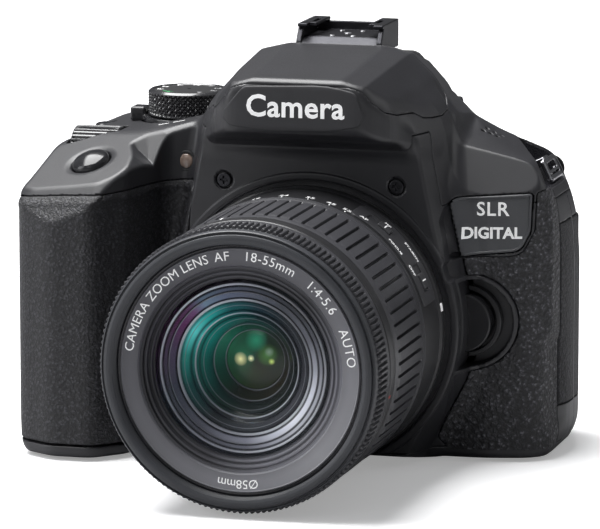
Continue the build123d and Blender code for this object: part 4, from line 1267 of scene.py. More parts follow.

# name ring: painted light, lighter towards the lower right, darker at the upper left and by the
# inner edge, glowing faintly
painted_light_ring_material("name_ring_painted_light", [
    (0.0, (0.282, 0.282, 0.301)), (0.12, (0.218, 0.218, 0.237)), (0.25, (0.128, 0.128, 0.141)),
    (0.38, (0.109, 0.109, 0.122)), (0.5, (0.096, 0.096, 0.109)), (0.62, (0.109, 0.109, 0.122)),
    (0.75, (0.134, 0.134, 0.147)), (0.9, (0.218, 0.218, 0.237)), (1.0, (0.282, 0.282, 0.301))],
    [(0.0, 0.75), (0.80, 0.80), (0.86, 1.0), (1.0, 1.0)], radius_scale=30.0,
    roughness=0.40, coat=0.0, emission=0.05, specular=0.4)
# stepped baffle: painted light, lit towards the lower right and dark at the upper left, with
# painted bright and dark rings at the steps, glowing a little
painted_light_ring_material("baffle_painted_light", [
    (0.0, (0.221, 0.221, 0.246)), (0.12, (0.170, 0.170, 0.196)), (0.25, (0.051, 0.051, 0.058)),
    (0.40, (0.068, 0.068, 0.078)), (0.55, (0.034, 0.034, 0.041)),
    (0.68, (0.020, 0.020, 0.024)), (0.82, (0.060, 0.060, 0.068)),
    (0.92, (0.187, 0.187, 0.212)), (1.0, (0.221, 0.221, 0.246))],
    [(0.0, 1.0), (0.69, 0.4), (0.705, 1.0), (0.725, 0.35), (0.74, 0.9), (0.755, 1.1),
     (0.765, 0.3), (0.785, 1.0), (0.80, 1.0), (1.0, 1.0)], radius_scale=30.0,
    roughness=0.42, coat=0.0, emission=0.16, specular=0.35)
# lens elements: the coatings' violet, teal and green are painted reflections by angle, with
# painted bright rings at the element edges, all glowing
painted_light_ring_material("painted_violet_coat_reflection", [
    (0.0, (0.62, 0.62, 0.68)), (0.07, (0.50, 0.50, 0.56)), (0.125, (0.26, 0.26, 0.30)),
    (0.19, (0.09, 0.09, 0.105)), (0.28, (0.045, 0.047, 0.056)), (0.36, (0.07, 0.075, 0.10)),
    (0.42, (0.085, 0.10, 0.15)), (0.465, (0.11, 0.16, 0.22)), (0.495, (0.10, 0.05, 0.11)),
    (0.53, (0.065, 0.018, 0.06)), (0.59, (0.035, 0.026, 0.048)), (0.68, (0.026, 0.026, 0.036)),
    (0.78, (0.05, 0.05, 0.062)), (0.88, (0.14, 0.14, 0.17)), (0.95, (0.42, 0.42, 0.48)),
    (1.0, (0.62, 0.62, 0.68))],
    [(0.0, 0.0), (0.805, 0.9), (0.825, 0.05), (0.84, 0.12), (0.85, 0.95), (0.905, 0.85),
     (0.915, 0.05), (0.93, 0.10), (0.94, 0.60), (0.965, 0.55), (0.972, 0.08), (1.0, 0.08)],
    radius_scale=19.2)
painted_light_ring_material("painted_teal_coat_reflection", [
    (0.0, (0.03, 0.03, 0.035)), (0.125, (0.02, 0.02, 0.024)), (0.25, (0.012, 0.014, 0.016)),
    (0.34, (0.010, 0.022, 0.030)), (0.42, (0.010, 0.08, 0.085)), (0.48, (0.015, 0.25, 0.23)),
    (0.535, (0.07, 0.42, 0.40)), (0.60, (0.008, 0.14, 0.115)), (0.68, (0.006, 0.035, 0.032)),
    (0.78, (0.010, 0.012, 0.012)), (0.9, (0.03, 0.032, 0.036)), (1.0, (0.03, 0.03, 0.035))],
    [(0.0, 0.0), (0.80, 0.8), (0.83, 0.1), (0.86, 0.9), (0.93, 1.0), (0.96, 0.25), (1.0, 0.9)],
    radius_scale=15.6)
painted_light_ring_material("painted_green_coat_reflection_outer", [
    (0.0, (0.010, 0.012, 0.010)), (0.2, (0.008, 0.010, 0.010)), (0.34, (0.006, 0.020, 0.022)),
    (0.45, (0.006, 0.085, 0.075)), (0.53, (0.006, 0.14, 0.115)), (0.62, (0.004, 0.065, 0.050)),
    (0.74, (0.004, 0.018, 0.013)), (0.85, (0.008, 0.012, 0.009)), (1.0, (0.010, 0.012, 0.010))],
    [(0.0, 0.0), (0.74, 0.35), (0.84, 0.9), (0.90, 1.0), (0.93, 0.15), (0.96, 0.9),
     (1.0, 0.6)], radius_scale=12.2)
painted_light_ring_material("painted_green_coat_reflection_inner", [
    (0.0, (0.012, 0.010, 0.004)), (0.2, (0.006, 0.006, 0.004)), (0.38, (0.004, 0.022, 0.014)),
    (0.52, (0.008, 0.09, 0.055)), (0.66, (0.004, 0.030, 0.018)), (0.8, (0.006, 0.008, 0.004)),
    (1.0, (0.012, 0.010, 0.004))], [(0.0, 0.2), (1.0, 1.0)], radius_scale=9.0)
# innermost element: painted green reflection by angle, glowing
painted_light_ring_material("painted_pupil_coat_reflection", [
    (0.0, (0.014, 0.016, 0.006)), (0.3, (0.010, 0.022, 0.012)), (0.45, (0.010, 0.060, 0.030)),
    (0.55, (0.012, 0.085, 0.040)), (0.7, (0.012, 0.045, 0.018)), (0.85, (0.016, 0.024, 0.008)),
    (1.0, (0.014, 0.016, 0.006))],
    [(0.0, 0.8), (0.5, 1.0), (0.8, 0.7), (0.93, 0.9), (1.0, 0.4)], radius_scale=7.0,
    # painted glints: warm and green spots of painted reflection
    roughness=0.10, coat=0.4, painted_glints=(
        (-3.4, LENS_Z + 0.1, 1.7, (0.66, 0.62, 0.30)),
        (-0.9, LENS_Z + 0.4, 0.85, (0.80, 0.80, 0.45)),
        (2.9, LENS_Z + 1.3, 2.7, (0.05, 0.14, 0.03)),
        (3.3, LENS_Z + 2.0, 1.2, (0.17, 0.23, 0.18)),
        (3.9, LENS_Z - 0.2, 0.8, (0.50, 0.62, 0.16)),
        (0.2, LENS_Z + 4.6, 2.8, (0.02, 0.20, 0.11))))
# rim colour by angle: painted highlights, bright towards the lower right and in an arc at the
# upper left
RIM_PAINTED_LIGHT = [
    (0.0, (0.62, 0.62, 0.66)), (0.10, (0.40, 0.40, 0.44)), (0.20, (0.16, 0.16, 0.175)),
    (0.30, (0.20, 0.20, 0.22)), (0.39, (0.42, 0.43, 0.50)), (0.46, (0.50, 0.53, 0.58)),
    (0.54, (0.42, 0.46, 0.50)), (0.62, (0.26, 0.27, 0.30)), (0.74, (0.14, 0.14, 0.16)),
    (0.84, (0.22, 0.22, 0.25)), (0.93, (0.50, 0.50, 0.55)), (1.0, (0.62, 0.62, 0.66))]
painted_light_ring_material("element_rim_polar", RIM_PAINTED_LIGHT, EVEN, radius_scale=30.0,
               roughness=0.35, coat=0.2, emission=0.22, specular=0.4)
# darker copy of the painted rim light: painted shade for the deeper rims
painted_light_ring_material("element_rim_dark_polar",
               [(position, shade(colour, 0.45)) for position, colour in RIM_PAINTED_LIGHT], EVEN,
               radius_scale=30.0, roughness=0.35, coat=0.2, emission=0.2, specular=0.4)

turned("name_ring_skin", [
    (-73.6, 26.3, 0), (-73.6, 28.95, 0), (-80.9, 28.95, 0), (-81.15, 28.75, 0),
    (-80.85, 28.3, 0.1), (-81.55, 27.95, 0.15), (-81.35, 27.7, 0.05), (-81.10, 24.1, 0.1),
    (-80.6, 23.75, 0.1), (-80.2, 23.75, 0), (-79.5, 24.4, 0), (-79.5, 26.3, 0)],
    "inner_barrel", "name_ring_painted_light", sharp=22)
turned("name_ring_shadow", [
    (-80.7, 28.93, 0), (-80.7, 28.0, 0), (-80.95, 28.0, 0.05), (-81.2, 28.6, 0.1),
    (-81.1, 28.93, 0)], "inner_barrel", "lens_baffle")
# stepped baffle: y, radius
BAFFLE_STEPS = [
    (-80.45, 23.7), (-80.45, 23.1), (-79.9, 22.95), (-79.9, 22.75), (-80.15, 22.55),
    (-80.15, 22.2), (-79.3, 22.0), (-79.3, 21.7), (-79.55, 21.5), (-79.55, 21.15),
    (-78.8, 20.95), (-78.8, 20.55)]
turned("front_baffle", [(y, r, 0.04) for y, r in BAFFLE_STEPS]
       + [(-76.0, 20.2, 0), (-76.0, 23.9, 0), (-78.8, 23.9, 0)],
       "inner_barrel", "baffle_painted_light", sharp=22)


def on_name_ring(angle_deg):
    """Place for text on the name ring: u runs clockwise seen from the front."""
    text_radius, face_y, centre_angle = 26.15, -81.26, math.radians(angle_deg)

    def place(u, v, height):
        a, r = centre_angle - u / text_radius, text_radius + v
        return (r * math.cos(a), face_y - height, LENS_Z + r * math.sin(a))
    return place


# name suffix, text, angle, size, letter spacing
for suffix, text, angle, size, spacing in (
        ("0", "CAMERA ZOOM LENS", 139.6, 3.05, 1.03), ("1", "AF", 99.0, 3.05, 1.08),
        ("2", "18-55mm", 74.0, 3.05, 1.08), ("3", "1:4-5.6", 42.5, 3.05, 1.08),
        ("4", "AUTO", 14.0, 3.05, 1.1), ("size", "Ø58mm", -91.0, 2.9, 1.0)):
    lettering("ring_text_" + suffix, text, size, on_name_ring(angle), "inner_barrel",
              spacing=spacing)


def annulus(name, outer_r, outer_y, inner_r, inner_y, material, bulge):
    """Coated ring of glass that bulges forward between its edges."""
    rows = []
    for i in range(9):
        t = i / 8
        rows.append((outer_y + (inner_y - outer_y) * t - bulge * math.sin(math.pi * t),
                     outer_r + (inner_r - outer_r) * t, 0))
    rows += [(inner_y + 0.5, inner_r, 0), (outer_y + 0.5, outer_r, 0)]
    turned(name, rows, "inner_barrel", material, "glass", sharp=40)


def rim_ring(name, r, y, width, height=0.25, tone="_dark"):
    # an empty tone takes the painted highlight rims; the dark tone takes their copy with painted
    # shade, for the deeper rims
    turned("element_rim_" + name, [
        (y, r + width / 2, 0), (y - height, r + width * 0.3, width * 0.2),
        (y - height, r - width * 0.3, width * 0.2), (y, r - width / 2, 0),
        (y + 0.3, r - width / 2, 0), (y + 0.3, r + width / 2, 0)],
        "inner_barrel", "element_rim" + tone + "_polar", "glass", sharp=40)


# stack of elements seen through the front glass, from the front inwards
annulus("element_violet", 19.2, -78.2, 15.7, -77.2, "painted_violet_coat_reflection", 0.35)
rim_ring("a", 19.35, -78.4, 0.5, tone="")
rim_ring("a2", 17.5, -77.95, 0.22, 0.35)
rim_ring("b", 15.55, -77.1, 0.6, tone="")
annulus("element_teal", 15.3, -76.9, 12.3, -75.1, "painted_teal_coat_reflection", 0.45)
rim_ring("b2", 14.2, -76.4, 0.16, 0.4)
rim_ring("c", 12.15, -75.0, 0.30, tone="")
annulus("element_green", 11.95, -74.8, 9.0, -71.2, "painted_green_coat_reflection_outer", 0.3)
rim_ring("c2", 10.6, -73.3, 0.15, 0.35)
rim_ring("d", 8.9, -71.0, 0.22)
annulus("element_green_in", 8.8, -70.8, 7.1, -67.9, "painted_green_coat_reflection_inner", 0.1)
rim_ring("e", 7.0, -67.8, 0.18)


def dome(y, rise, edge_r, radii):
    """Profile points of a surface whose edge lies behind its centre by rise."""
    return [(y + rise * (r / edge_r) ** 2, r) for r in radii]


PUPIL_R, GLASS_R = 6.9, 20.5
pupil = turned_disc("element_pupil", [(-68.4, 0)]
                    + dome(-68.4, 1.2, PUPIL_R, np.linspace(0.6, PUPIL_R, 12))
                    + [(-66.3, PUPIL_R), (-66.3, 0)], 96)
fit(pupil, "inner_barrel", "painted_pupil_coat_reflection", "glass")
turned("element_carrier", [
    (-76.0, 23.9, 0), (-76.0, 20.4, 0), (-77.9, 20.3, 0), (-78.3, 19.6, 0), (-77.7, 19.3, 0),
    (-71.6, 14.6, 0), (-66.4, 7.2, 0), (-65.9, 0.6, 0), (-65.4, 0.6, 0), (-65.4, 26, 0),
    (-73.0, 26, 0), (-73.4, 23.9, 0)], "inner_barrel", "lens_inner", "glass")
front_glass = turned_disc("front_element", [(-80.4, 0)]
                          + dome(-80.4, 1.25, GLASS_R, np.linspace(1.5, GLASS_R, 16))
                          + [(-78.7, GLASS_R)]
                          + dome(-79.7, 1.0, GLASS_R, np.linspace(19.5, 1.5, 12))
                          + [(-79.7, 0)], LENS_SEG)
fit(front_glass, "inner_barrel", "front_glass", "glass", "front_glass")

# ------------------------------------------------------------------ top controls


def shutter_button(x, y, z):
    height, r = face_place(x, y, z)
    shape = soft_high(r - 4.65, away(r, height, 0, -6.2) - 8.0, 0.9)
    shape = high(shape, -2.4 - height)
    return low(shape, high(r - 2.0, between(height, -6.0, -2.0)))


solid("shutter_button_cap", shutter_button, SHUTTER_BUTTON - 8, SHUTTER_BUTTON + 7, 0.16,
      "release_button", "button_gloss", "gloss_black", "shutter_button")
turned("button_collar", [
    (-1.6, 4.78, 0), (-1.6, 5.45, 0), (-0.65, 5.5, 0.12), (-0.5, 5.1, 0.15),
    (-0.85, 4.82, 0.08)], "body", "gloss_plastic", "gloss_black", segments=96,
    centre=SHUTTER_BUTTON, axes=FACE_AXES)

# half of the finger wheel's profile, which is the same at both ends: axial, radius, corner
WHEEL_END = [(-5.8, 0.6, 0), (-5.8, 6.05, 0.2), (-5.45, 6.35, 0), (-5.0, 6.4, 0), (-3, 6.4, 0)]
turned("main_dial_wheel", WHEEL_END + [(0, 6.4, 0)] + mirrored(WHEEL_END)[len(WHEEL_END):],
       "finger_dial", "control_plastic", "control_plastic", "main_dial", segments=36 * 12,
       sharp=25, centre=(-58.0, *MAIN_DIAL), axes=ALONG_X,
       ribs=ribbing(36, depth=0.55, groove_start=0.45, groove_ramp=0.3,
                    window=lambda x, r: (np.abs(x) < 5.2) & (r > 5.5)))


def knurl(angles, axial, radius):
    """Diamond knurling on the mode dial's wall."""
    u, pitch = angles * 10.0, 1.2566
    one = np.abs((((u + axial * 0.9) / pitch) % 1.0) - 0.5) * 2
    other = np.abs((((u - axial * 0.9) / pitch) % 1.0) - 0.5) * 2
    groove = np.clip(np.maximum(one, other) * 1.35 - 0.45, 0, 1)
    window = fade(axial, 77.4, 0.25, 82.6, 0.25)
    return np.where(radius > 9.5, radius - 0.55 * groove * window, radius)


MODE_PLACE = dict(centre=(*MODE_DIAL, 0), axes=ALONG_Z)
turned("mode_dial_wheel",
       [(76.95, 2.2, 0), (76.95, 9.75, 0.15), (77.2, 9.95, 0.1)]
       + stations(10.0, (77.3, 82.7, 40))
       + [(82.8, 9.95, 0.1), (83.3, 9.35, 0.2), (83.3, 8.9, 0.1), (83.0, 8.55, 0.1),
          (83.0, 2.2, 0)],
       "mode_wheel", "control_plastic", "control_plastic", "mode_dial",
       segments=540, sharp=28, ribs=knurl, **MODE_PLACE)
turned("mode_dial_cap", [
    (82.2, 0.5, 0), (82.2, 8.45, 0), (83.05, 8.45, 0.15), (83.17, 7.6, 0), (83.25, 4, 0),
    (83.27, 0.5, 0)], "mode_wheel", "dark_plastic", "control_plastic", segments=96,
    **MODE_PLACE)
turned("mode_dial_spindle", [(72.1, 0.5, 0), (72.1, 2.0, 0.2), (82.9, 2.0, 0), (82.9, 0.5, 0)],
       "mode_wheel", "dark_plastic", "control_plastic", segments=48, **MODE_PLACE)


def on_mode_dial(centre_angle):
    def place(u, v, height):
        a, r = centre_angle - u / 6.9, 6.9 + v
        return (MODE_DIAL[0] + r * math.cos(a), MODE_DIAL[1] + r * math.sin(a), 83.17 + height)
    return place


for i, mark in enumerate(("A+", "P", "S", "A", "M", "1", "2", "3", "4")):
    ink = "print_green" if i == 0 else "glowing_white_print" if i < 5 else "print_grey"
    lettering("mode_mark_%d" % i, mark, 2.3, on_mode_dial(math.radians(235 - i * 36)),
              "mode_wheel", ink, "control_plastic", bold=0.04)


def power_lever(x, y, z):
    r = away(x, y, *MODE_DIAL)
    ring = round_high(high(r - 11.0, 2.2 - r), np.abs(z - 75.95) - 0.75, 0.25)
    return soft_low(ring, box(x, y, z, (-54.2, -50.2), (12.6, 17.6), (75.2, 78.8), 0.8), 0.8)


solid("power_lever_ring", power_lever, (-55.2, 4, 74.6), (-28, 28, 79.8), 0.22,
      "lever", "gloss_plastic", "gloss_black", "power_lever")


def on_deck(u, v, height):
    """Place on the deck ahead of the mode dial, found by bisection on the body field."""
    x, y = -39.5 + u, -1.2 + v
    under, over = 60.0, 100.0
    for _ in range(26):
        z = 0.5 * (under + over)
        if float(body_field(*(np.array([value], F32) for value in (x, y, z)))[0]) < 0:
            under = z
        else:
            over = z
    return (x, y, under + height)


lettering("deck_print_power", "ON  OFF", 1.7, on_deck, "body", depth=0.05, bold=0.02)


def iso_button(x, y, z):
    ball = away_3d(x, y, z, *ISO_BUTTON, 67.2) - 7.3
    return soft_high(away(x, y, *ISO_BUTTON) - 2.55, high(ball, 69.4 - z), 0.5)


solid("iso_button_cap", iso_button, (-65, 11, 68.5), (-57, 19, 75.7), 0.15,
      "iso", "button_gloss", "gloss_black", "iso_button")


def accessory_shoe(x, y, z):
    side = np.abs(x)
    base = box(x, y, z, (-10.6, 10.6), (5.4, 23.5), (94.5, 98.2), 0.15)
    base = soft_high(base, (z - 98.2 - (y - 9.6) * 0.55) * 0.87, 0.3)
    wall = box(side, y, z, (9.3, 10.6), (6.4, 23.5), (95.0, 101.2), 0.25)
    wall = soft_high(wall, (z - 101.2 - (y - 9.5) * 1.4) * 0.58, 0.3)
    lip = box(side, y, z, (6.4, 10.6), (8.0, 23.5), (100.35, 101.2), 0.25)
    stop = box(x, y, z, (-9.4, 9.4), (22.3, 23.5), (98.0, 100.2), 0.2)
    shape = low(base, wall, lip, stop)
    # end cuts of the rails, then spring slots
    shape = high(shape, -box(side, y, z, (5, 8.2), (3, 10.4), (99.9, 103), 0.4))
    return high(shape, -box(side, y, z, (7.3, 8.3), (13, 19), (99.9, 103), 0.2))


solid("shoe_rails", accessory_shoe, (-12, 4, 93.8), (12, 25, 102), 0.2, "body", "shoe_metal",
      "steel", "hot_shoe")
# contacts in the shoe: x, y, radius
for i, (x, y, radius) in enumerate(((0, 15.5, 1.0), (-2.6, 10.4, 0.75), (2.6, 10.4, 0.75),
                                    (-2.6, 20.0, 0.75), (2.6, 20.0, 0.75))):
    turned("shoe_contact_%d" % i, [(98.15, 0.05, 0), (98.15, radius, 0),
                                   (98.35, radius - 0.1, 0.1), (98.42, 0.05, 0)],
           "body", "steel", "steel", segments=24, centre=(x, y, 0), axes=ALONG_Z)

# ------------------------------------------------------------------ strap lugs


def strap_lug(centre_x, centre_y, centre_z, side):
    """Slotted loop on a sloping plane; side is +1 on the +X end and -1 on the -X end."""
    def field(x, y, z):
        out, up, v = (x - centre_x) * side, z - centre_z, y - centre_y
        u = 0.431 * out - 0.902 * up
        w = 0.902 * out + 0.431 * up
        plate = round_high(np.abs(u) - 2.7, np.abs(v) - 5.8, 0.9)
        plate = round_high(plate, np.abs(w) - 0.55, 0.3)
        hole = round_high(np.abs(u + 0.55) - 0.95, np.abs(v) - 3.9, 0.5)
        slot = high(np.abs(u - 1.35) - 0.28, np.abs(v) - 4.6)
        stem = box(u, v, w, (-3.2, -1.2), (-2.5, 2.5), (-3.5, 0.0), 0.4)
        roll = high(away(u, w, 2.3, 0) - 0.85, np.abs(v) - 5.0)
        return low(high(plate, -hole, -slot), stem, roll)
    return field


solid("strap_lug_right", strap_lug(50.7, 13.75, 67.7, 1.0), (45.5, 7, 63.4), (55, 20.6, 72.5),
      0.16, "body", "lug_chrome", "lug_chrome", "strap_lugs")
solid("strap_lug_left", strap_lug(-68.3, 15.5, 67.5, -1.0), (-72.8, 9, 63.2), (-63.5, 22, 72),
      0.16, "body", "lug_chrome", "lug_chrome")


def lug_recess(x, y, z):
    """Dark lining of the lug pockets: floor and walls."""
    skin = body_field(x, y, z)
    window = low(lug_window_plus(x, y, z), lug_window_minus(x, y, z))
    floor = high(grow(skin, -3.5), deeper(skin, 4.15))
    walls = high(-window - 0.35, grow(skin, -0.5), deeper(skin, 4.15))
    return high(window + 0.02, low(floor, walls))


solid("lug_recess_right", lug_recess, (42, -3, 62.5), (58, 25.5, 75), 0.22, "body",
      "lens_baffle")
solid("lug_recess_left", lug_recess, (-75, 7, 62), (-62, 24, 75), 0.22, "body", "lens_baffle")

# ------------------------------------------------------------------ front fittings


def release_key(x, y, z):
    """D-shaped key with a dished face."""
    flat = round_high(away(x, z, 34.6, LENS_Z) - 7.0, 34.75 - x, 0.5)
    dish = -(away_3d(x, y, z, 36.5, -50.0, LENS_Z) - 39.9)
    return soft_high(round_high(flat, between(y, -10.6, -0.6), 0.45), dish, 0.4)


def release_collar(x, y, z):
    ring = np.abs(away(x, z, 34.9, LENS_Z) - 8.0) - 0.62
    return high(round_high(ring, between(y, -7.2, -4.0), 0.2), 36.4 - lens_radius(x, z))


solid("lens_release_key", release_key, (33.5, -12, 25.5), (42.6, 0.5, 41.5), 0.16,
      "lens_release", "gloss_plastic", "gloss_black", "lens_release_button")
solid("release_collar", release_collar, (33.5, -8, 23.5), (44.5, -3, 43.5), 0.16,
      "body", "gloss_plastic", "gloss_black")


def screw(u, v, w, head_r, head_span, edge, slot_half, slot_reach, slot_floor, shank_r,
          shank_span):
    """Screw along w, with a cross recess down to slot_floor."""
    r = away(u, v, 0, 0)
    head = round_high(r - head_r, between(w, *head_span), edge)
    cross = low(high(np.abs(u) - slot_half, np.abs(v) - slot_reach),
                high(np.abs(v) - slot_half, np.abs(u) - slot_reach))
    cross = high(cross, w - slot_floor)
    return low(high(head, -cross), high(r - shank_r, between(w, *shank_span)))


def front_screw(centre_x):
    return lambda x, y, z: screw(
        x - centre_x, z - FRONT_SCREW_Z, y, head_r=1.72, head_span=(-20.05, -18.9), edge=0.25,
        slot_half=0.28, slot_reach=0.95, slot_floor=-19.4, shank_r=0.9,
        shank_span=(-19, -15.0))


def base_screw(centre_x, centre_y):
    return lambda x, y, z: screw(
        x - centre_x, y - centre_y, z, head_r=1.68, head_span=(0.2, 1.2), edge=0.2,
        slot_half=0.25, slot_reach=0.9, slot_floor=0.8, shank_r=0.85, shank_span=(1.0, 3.0))


for side, x, replaced in (("left", -FRONT_SCREW_X, "body_screws"),
                          ("right", FRONT_SCREW_X, None)):
    solid("cover_screw_" + side, front_screw(x), (x - 2.2, -20.8, FRONT_SCREW_Z - 2.2),
          (x + 2.2, -14.5, FRONT_SCREW_Z + 2.2), 0.12, "body", "screw_black", "screw_black",
          replaced)
for i, (x, y) in enumerate(BASE_SCREWS):
    solid("base_screw_%d" % i, base_screw(x, y), (x - 2.4, y - 2.4, -0.3),
          (x + 2.4, y + 2.4, 3.4), 0.13, "body", "screw_black", "screw_black")

# assist lamp beside the grip
LAMP_Y = front_y(*LAMP, -40.0, 10.0, 1001)
m = Shader("lamp_window")
m.surface({"Base Color": m.mottle(m.noise(0.5, detail=2.0), (0.20, 0.14, 0.11),
                                  (0.30, 0.22, 0.18)),
           "Roughness": 0.25, "Coat Weight": 0.8,
           "Normal": m.bump(m.cells(1.6), strength=0.1, depth=0.03)})


def assist_lamp(x, y, z):
    r = away(x, z, *LAMP)
    window = round_high(r - 1.75, y - (LAMP_Y + 1.2), 0.2)
    return soft_high(window, away(r, y, 0, LAMP_Y + 3.2) - 3.9, 0.3)


solid("assist_lamp", assist_lamp, (-36.5, LAMP_Y - 2, 66.5), (-31, LAMP_Y + 2.4, 72), 0.14,
      "body", "lamp_window", "glass")
turned("lamp_bezel", [
    (LAMP_Y + 0.9, 1.8, 0), (LAMP_Y + 0.9, 2.5, 0), (LAMP_Y - 0.25, 2.5, 0.15),
    (LAMP_Y - 0.35, 2.05, 0.15), (LAMP_Y + 0.2, 1.8, 0.05)],
    "body", "dark_plastic", segments=64, centre=(LAMP[0], 0, LAMP[1]))

# name plate on the nose: x, z
NAME_PLATE = Outline([
    (-18.6, 84.3, 1.5), (-12.6, 91.4, 2.5), (7.8, 92.15, 30), (14.6, 90.6, 2.5),
    (16.5, 85.1, 2.0), (15.2, 82.6, 2.0), (8.0, 81.3, 10), (-6.7, 80.9, 10),
    (-16.0, 82.0, 2.0)], (-25, 75), (25, 98), 0.1)


def name_plate(x, y, z):
    skin = body_field(x, y, z)
    window = high(NAME_PLATE(x, z), y + 26)
    return high(round_high(grow(skin, 0.55), window, 0.35), deeper(skin, 0.35))


def on_front(centre_x, centre_z, *search):
    """Place for text on the body's front; search holds front_y's span, count and level."""
    def place(u, v, height):
        x, z = centre_x + u, centre_z + v
        return (x, front_y(x, z, *search) - height, z)
    return place


solid("name_plate", name_plate, (-21, -36, 79), (21, -25, 94), 0.2, "body", "name_plate")
lettering("nose_word", "Camera", 7.2, on_front(0.0, 86.7, -38, -20, 361, 0.55), "body",
          depth=0.12, bold=0.14, spacing=1.04)
lettering("badge_word_a", "SLR", 4.6, on_front(41.2, 60.3, -12, 2, 281, -0.26), "body",
          depth=0.07, bold=0.06, spacing=1.1)
lettering("badge_word_b", "DIGITAL", 3.7, on_front(41.0, 54.6, -12, 2, 281, -0.26), "body",
          depth=0.07, bold=0.12)

# ------------------------------------------------------------------ rear fittings

# eyecup and screen panel: x, z
EYECUP = Outline(mirrored([(17, 74.0, 4), (17, 85.0, 5), (11, 91.6, 4)]),
                 (-25, 68), (25, 100), 0.15)
PANEL = Outline([(-24, 6, 2.6), (49.2, 6, 2.6), (49.2, 61, 2.6), (-24, 61, 2.6)],
                (-30, 0), (55, 66))


def eyecup(x, y, z):
    outline = EYECUP(x, z)
    t = np.clip((y - 36.2) / 8.0, 0, 1)
    shape = round_high(outline + t * 0.8, between(y, 36.05, 44.1), 1.6)
    hole = box(x, 0 * y, z, (-12.0, 12.0), (-9, 9), (77.4, 88.4), 3.2) - t * 1.3
    shape = soft_high(shape, -hole, 1.2)
    return high(shape, -high(np.abs(y - 38.6) - 0.35, deeper(outline, 0.9)))


solid("eyecup_rubber", eyecup, (-18.5, 35.2, 72.8), (18.5, 45, 96.2), 0.3,
      "eyecup_body", "soft_rubber", "soft_rubber", "eyecup")
turned("diopter_wheel", [
    (31.6, 0.3, 0), (31.6, 1.45, 0), (34.6, 1.45, 0), (34.7, 3.1, 0.1), (35.4, 3.2, 0),
    (36.6, 3.2, 0), (37.3, 3.1, 0.2), (37.6, 2.6, 0.1), (37.6, 0.3, 0)],
    "diopter", "gloss_plastic", "gloss_black", "diopter_knob", segments=20 * 10, sharp=28,
    centre=(DIOPTER[0], 0, DIOPTER[1]),
    ribs=ribbing(20, depth=0.25, groove_start=0.5, groove_ramp=0.3,
                 window=lambda y, r: r > 3.05))


def screen_panel(x, y, z):
    shape = round_high(PANEL(x, z), between(y, 33.45, 37.95), 0.8)
    shape = high(shape, -box(x, y, z, (-19.45, 44.65), (37.2, 40), (11.95, 55.45), 0.3))
    # finger notch at the free edge
    notch = away_3d(x, y, (z - 33.5) * 0.28, -25.5, 38.6, 0) - 3.0
    return soft_high(shape, -notch, 0.4)


def screen_glass(x, y, z):
    pane = box(x, y, z, (-19.3, 44.5), (37.3, 37.9), (12.1, 55.3), 0.1)
    # one face lies on a grid plane; this step fixes how its zero values round
    return round_high(pane, FAR_INSIDE, 0.05)


def screen_hinge(x, y, z):
    block = box(x, y, z, (49.6, 53.4), (33.5, 37.8), (14.0, 54.0), 1.2)
    return soft_high(block, (x * 0.6 + y * 0.8) - 59.9, 1.2)


solid("screen_panel", screen_panel, (-25, 32.6, 5), (50.2, 39, 62), 0.36, "screen",
      "body_plastic", replaces="lcd_panel")
m = Shader("screen_glass")
m.surface({"Base Color": m.mottle(m.noise(0.05, detail=1.0), (0.006, 0.007, 0.010),
                                  (0.010, 0.011, 0.015)),
           "Roughness": 0.06, "Coat Weight": 1.0, "Coat Roughness": 0.02,
           "Normal": m.bump(m.noise(0.1, detail=1.0), strength=0.01, depth=0.02)})
solid("screen_cover_glass", screen_glass, (-20, 36.9, 11.4), (45.2, 38.3, 56), 0.3,
      "screen", "screen_glass", "screen_glass", "lcd_glass")
solid("screen_hinge_block", screen_hinge, (49, 32.8, 12), (55.6, 38.6, 56), 0.25,
      "screen", "body_plastic", replaces="lcd_hinge")

for button, (x, z) in REAR_BUTTONS.items():
    turned(button + "_cap", [
        (32.4, 0.2, 0), (32.4, 2.35, 0.1), (36.55, 2.4, 0.35), (36.85, 1.4, 0),
        (36.92, 0.2, 0)], button, "button_gloss", "control_plastic", button + "_button",
        segments=64, centre=(x, 0, z))
    turned(button + "_bezel", [
        (35.2, 2.65, 0), (35.2, 3.3, 0), (36.25, 3.2, 0.2), (36.3, 2.8, 0.15),
        (35.8, 2.62, 0)], "body", "dark_plastic", segments=64, centre=(x, 0, z))

turned("control_dial_ring", [
    (34.65, 9.4, 0), (34.65, 12.9, 0), (35.2, 13.0, 0), (36.4, 13.0, 0), (37.4, 12.7, 0.3),
    (38.0, 11.6, 0.5), (37.7, 9.8, 0.3), (37.1, 9.4, 0.1)],
    "rear_dial", "control_plastic", "control_plastic", "control_dial", segments=400, sharp=28,
    centre=(REAR_DIAL[0], 0, REAR_DIAL[1]),
    ribs=ribbing(40, depth=0.4, groove_start=0.5, groove_ramp=0.3,
                 window=lambda y, r: (r > 12.3) & (y > 35.0)))


def cross_keys(x, y, z):
    r = away(x, z, *REAR_DIAL)
    shape = round_high(high(r - 9.1, 5.05 - r), between(y, 34.75, 37.15), 0.35)
    # grooves on both diagonals
    diagonal = np.abs(np.abs(x - REAR_DIAL[0]) - np.abs(z - REAR_DIAL[1])) - 0.22
    return high(shape, -high(diagonal, between(y, 36.8, 40)))


def set_button(x, y, z):
    shape = round_high(away(x, z, *REAR_DIAL) - 4.75, between(y, 34.75, 37.4), 0.4)
    return soft_high(shape, -(away_3d(x, z, y, *REAR_DIAL, 57.2) - 20.2), 0.3)


def thumb_rest(x, y, z):
    outline = box(x, 0 * y, z, (-59.5, -44.0), (-9, 9), (49.5, 60.5), 2.0)
    crown = y - 37.2 + np.square((x + 51.7) / 12) * 0.6
    return round_high(outline, high(35.6 - y, crown), 0.6)


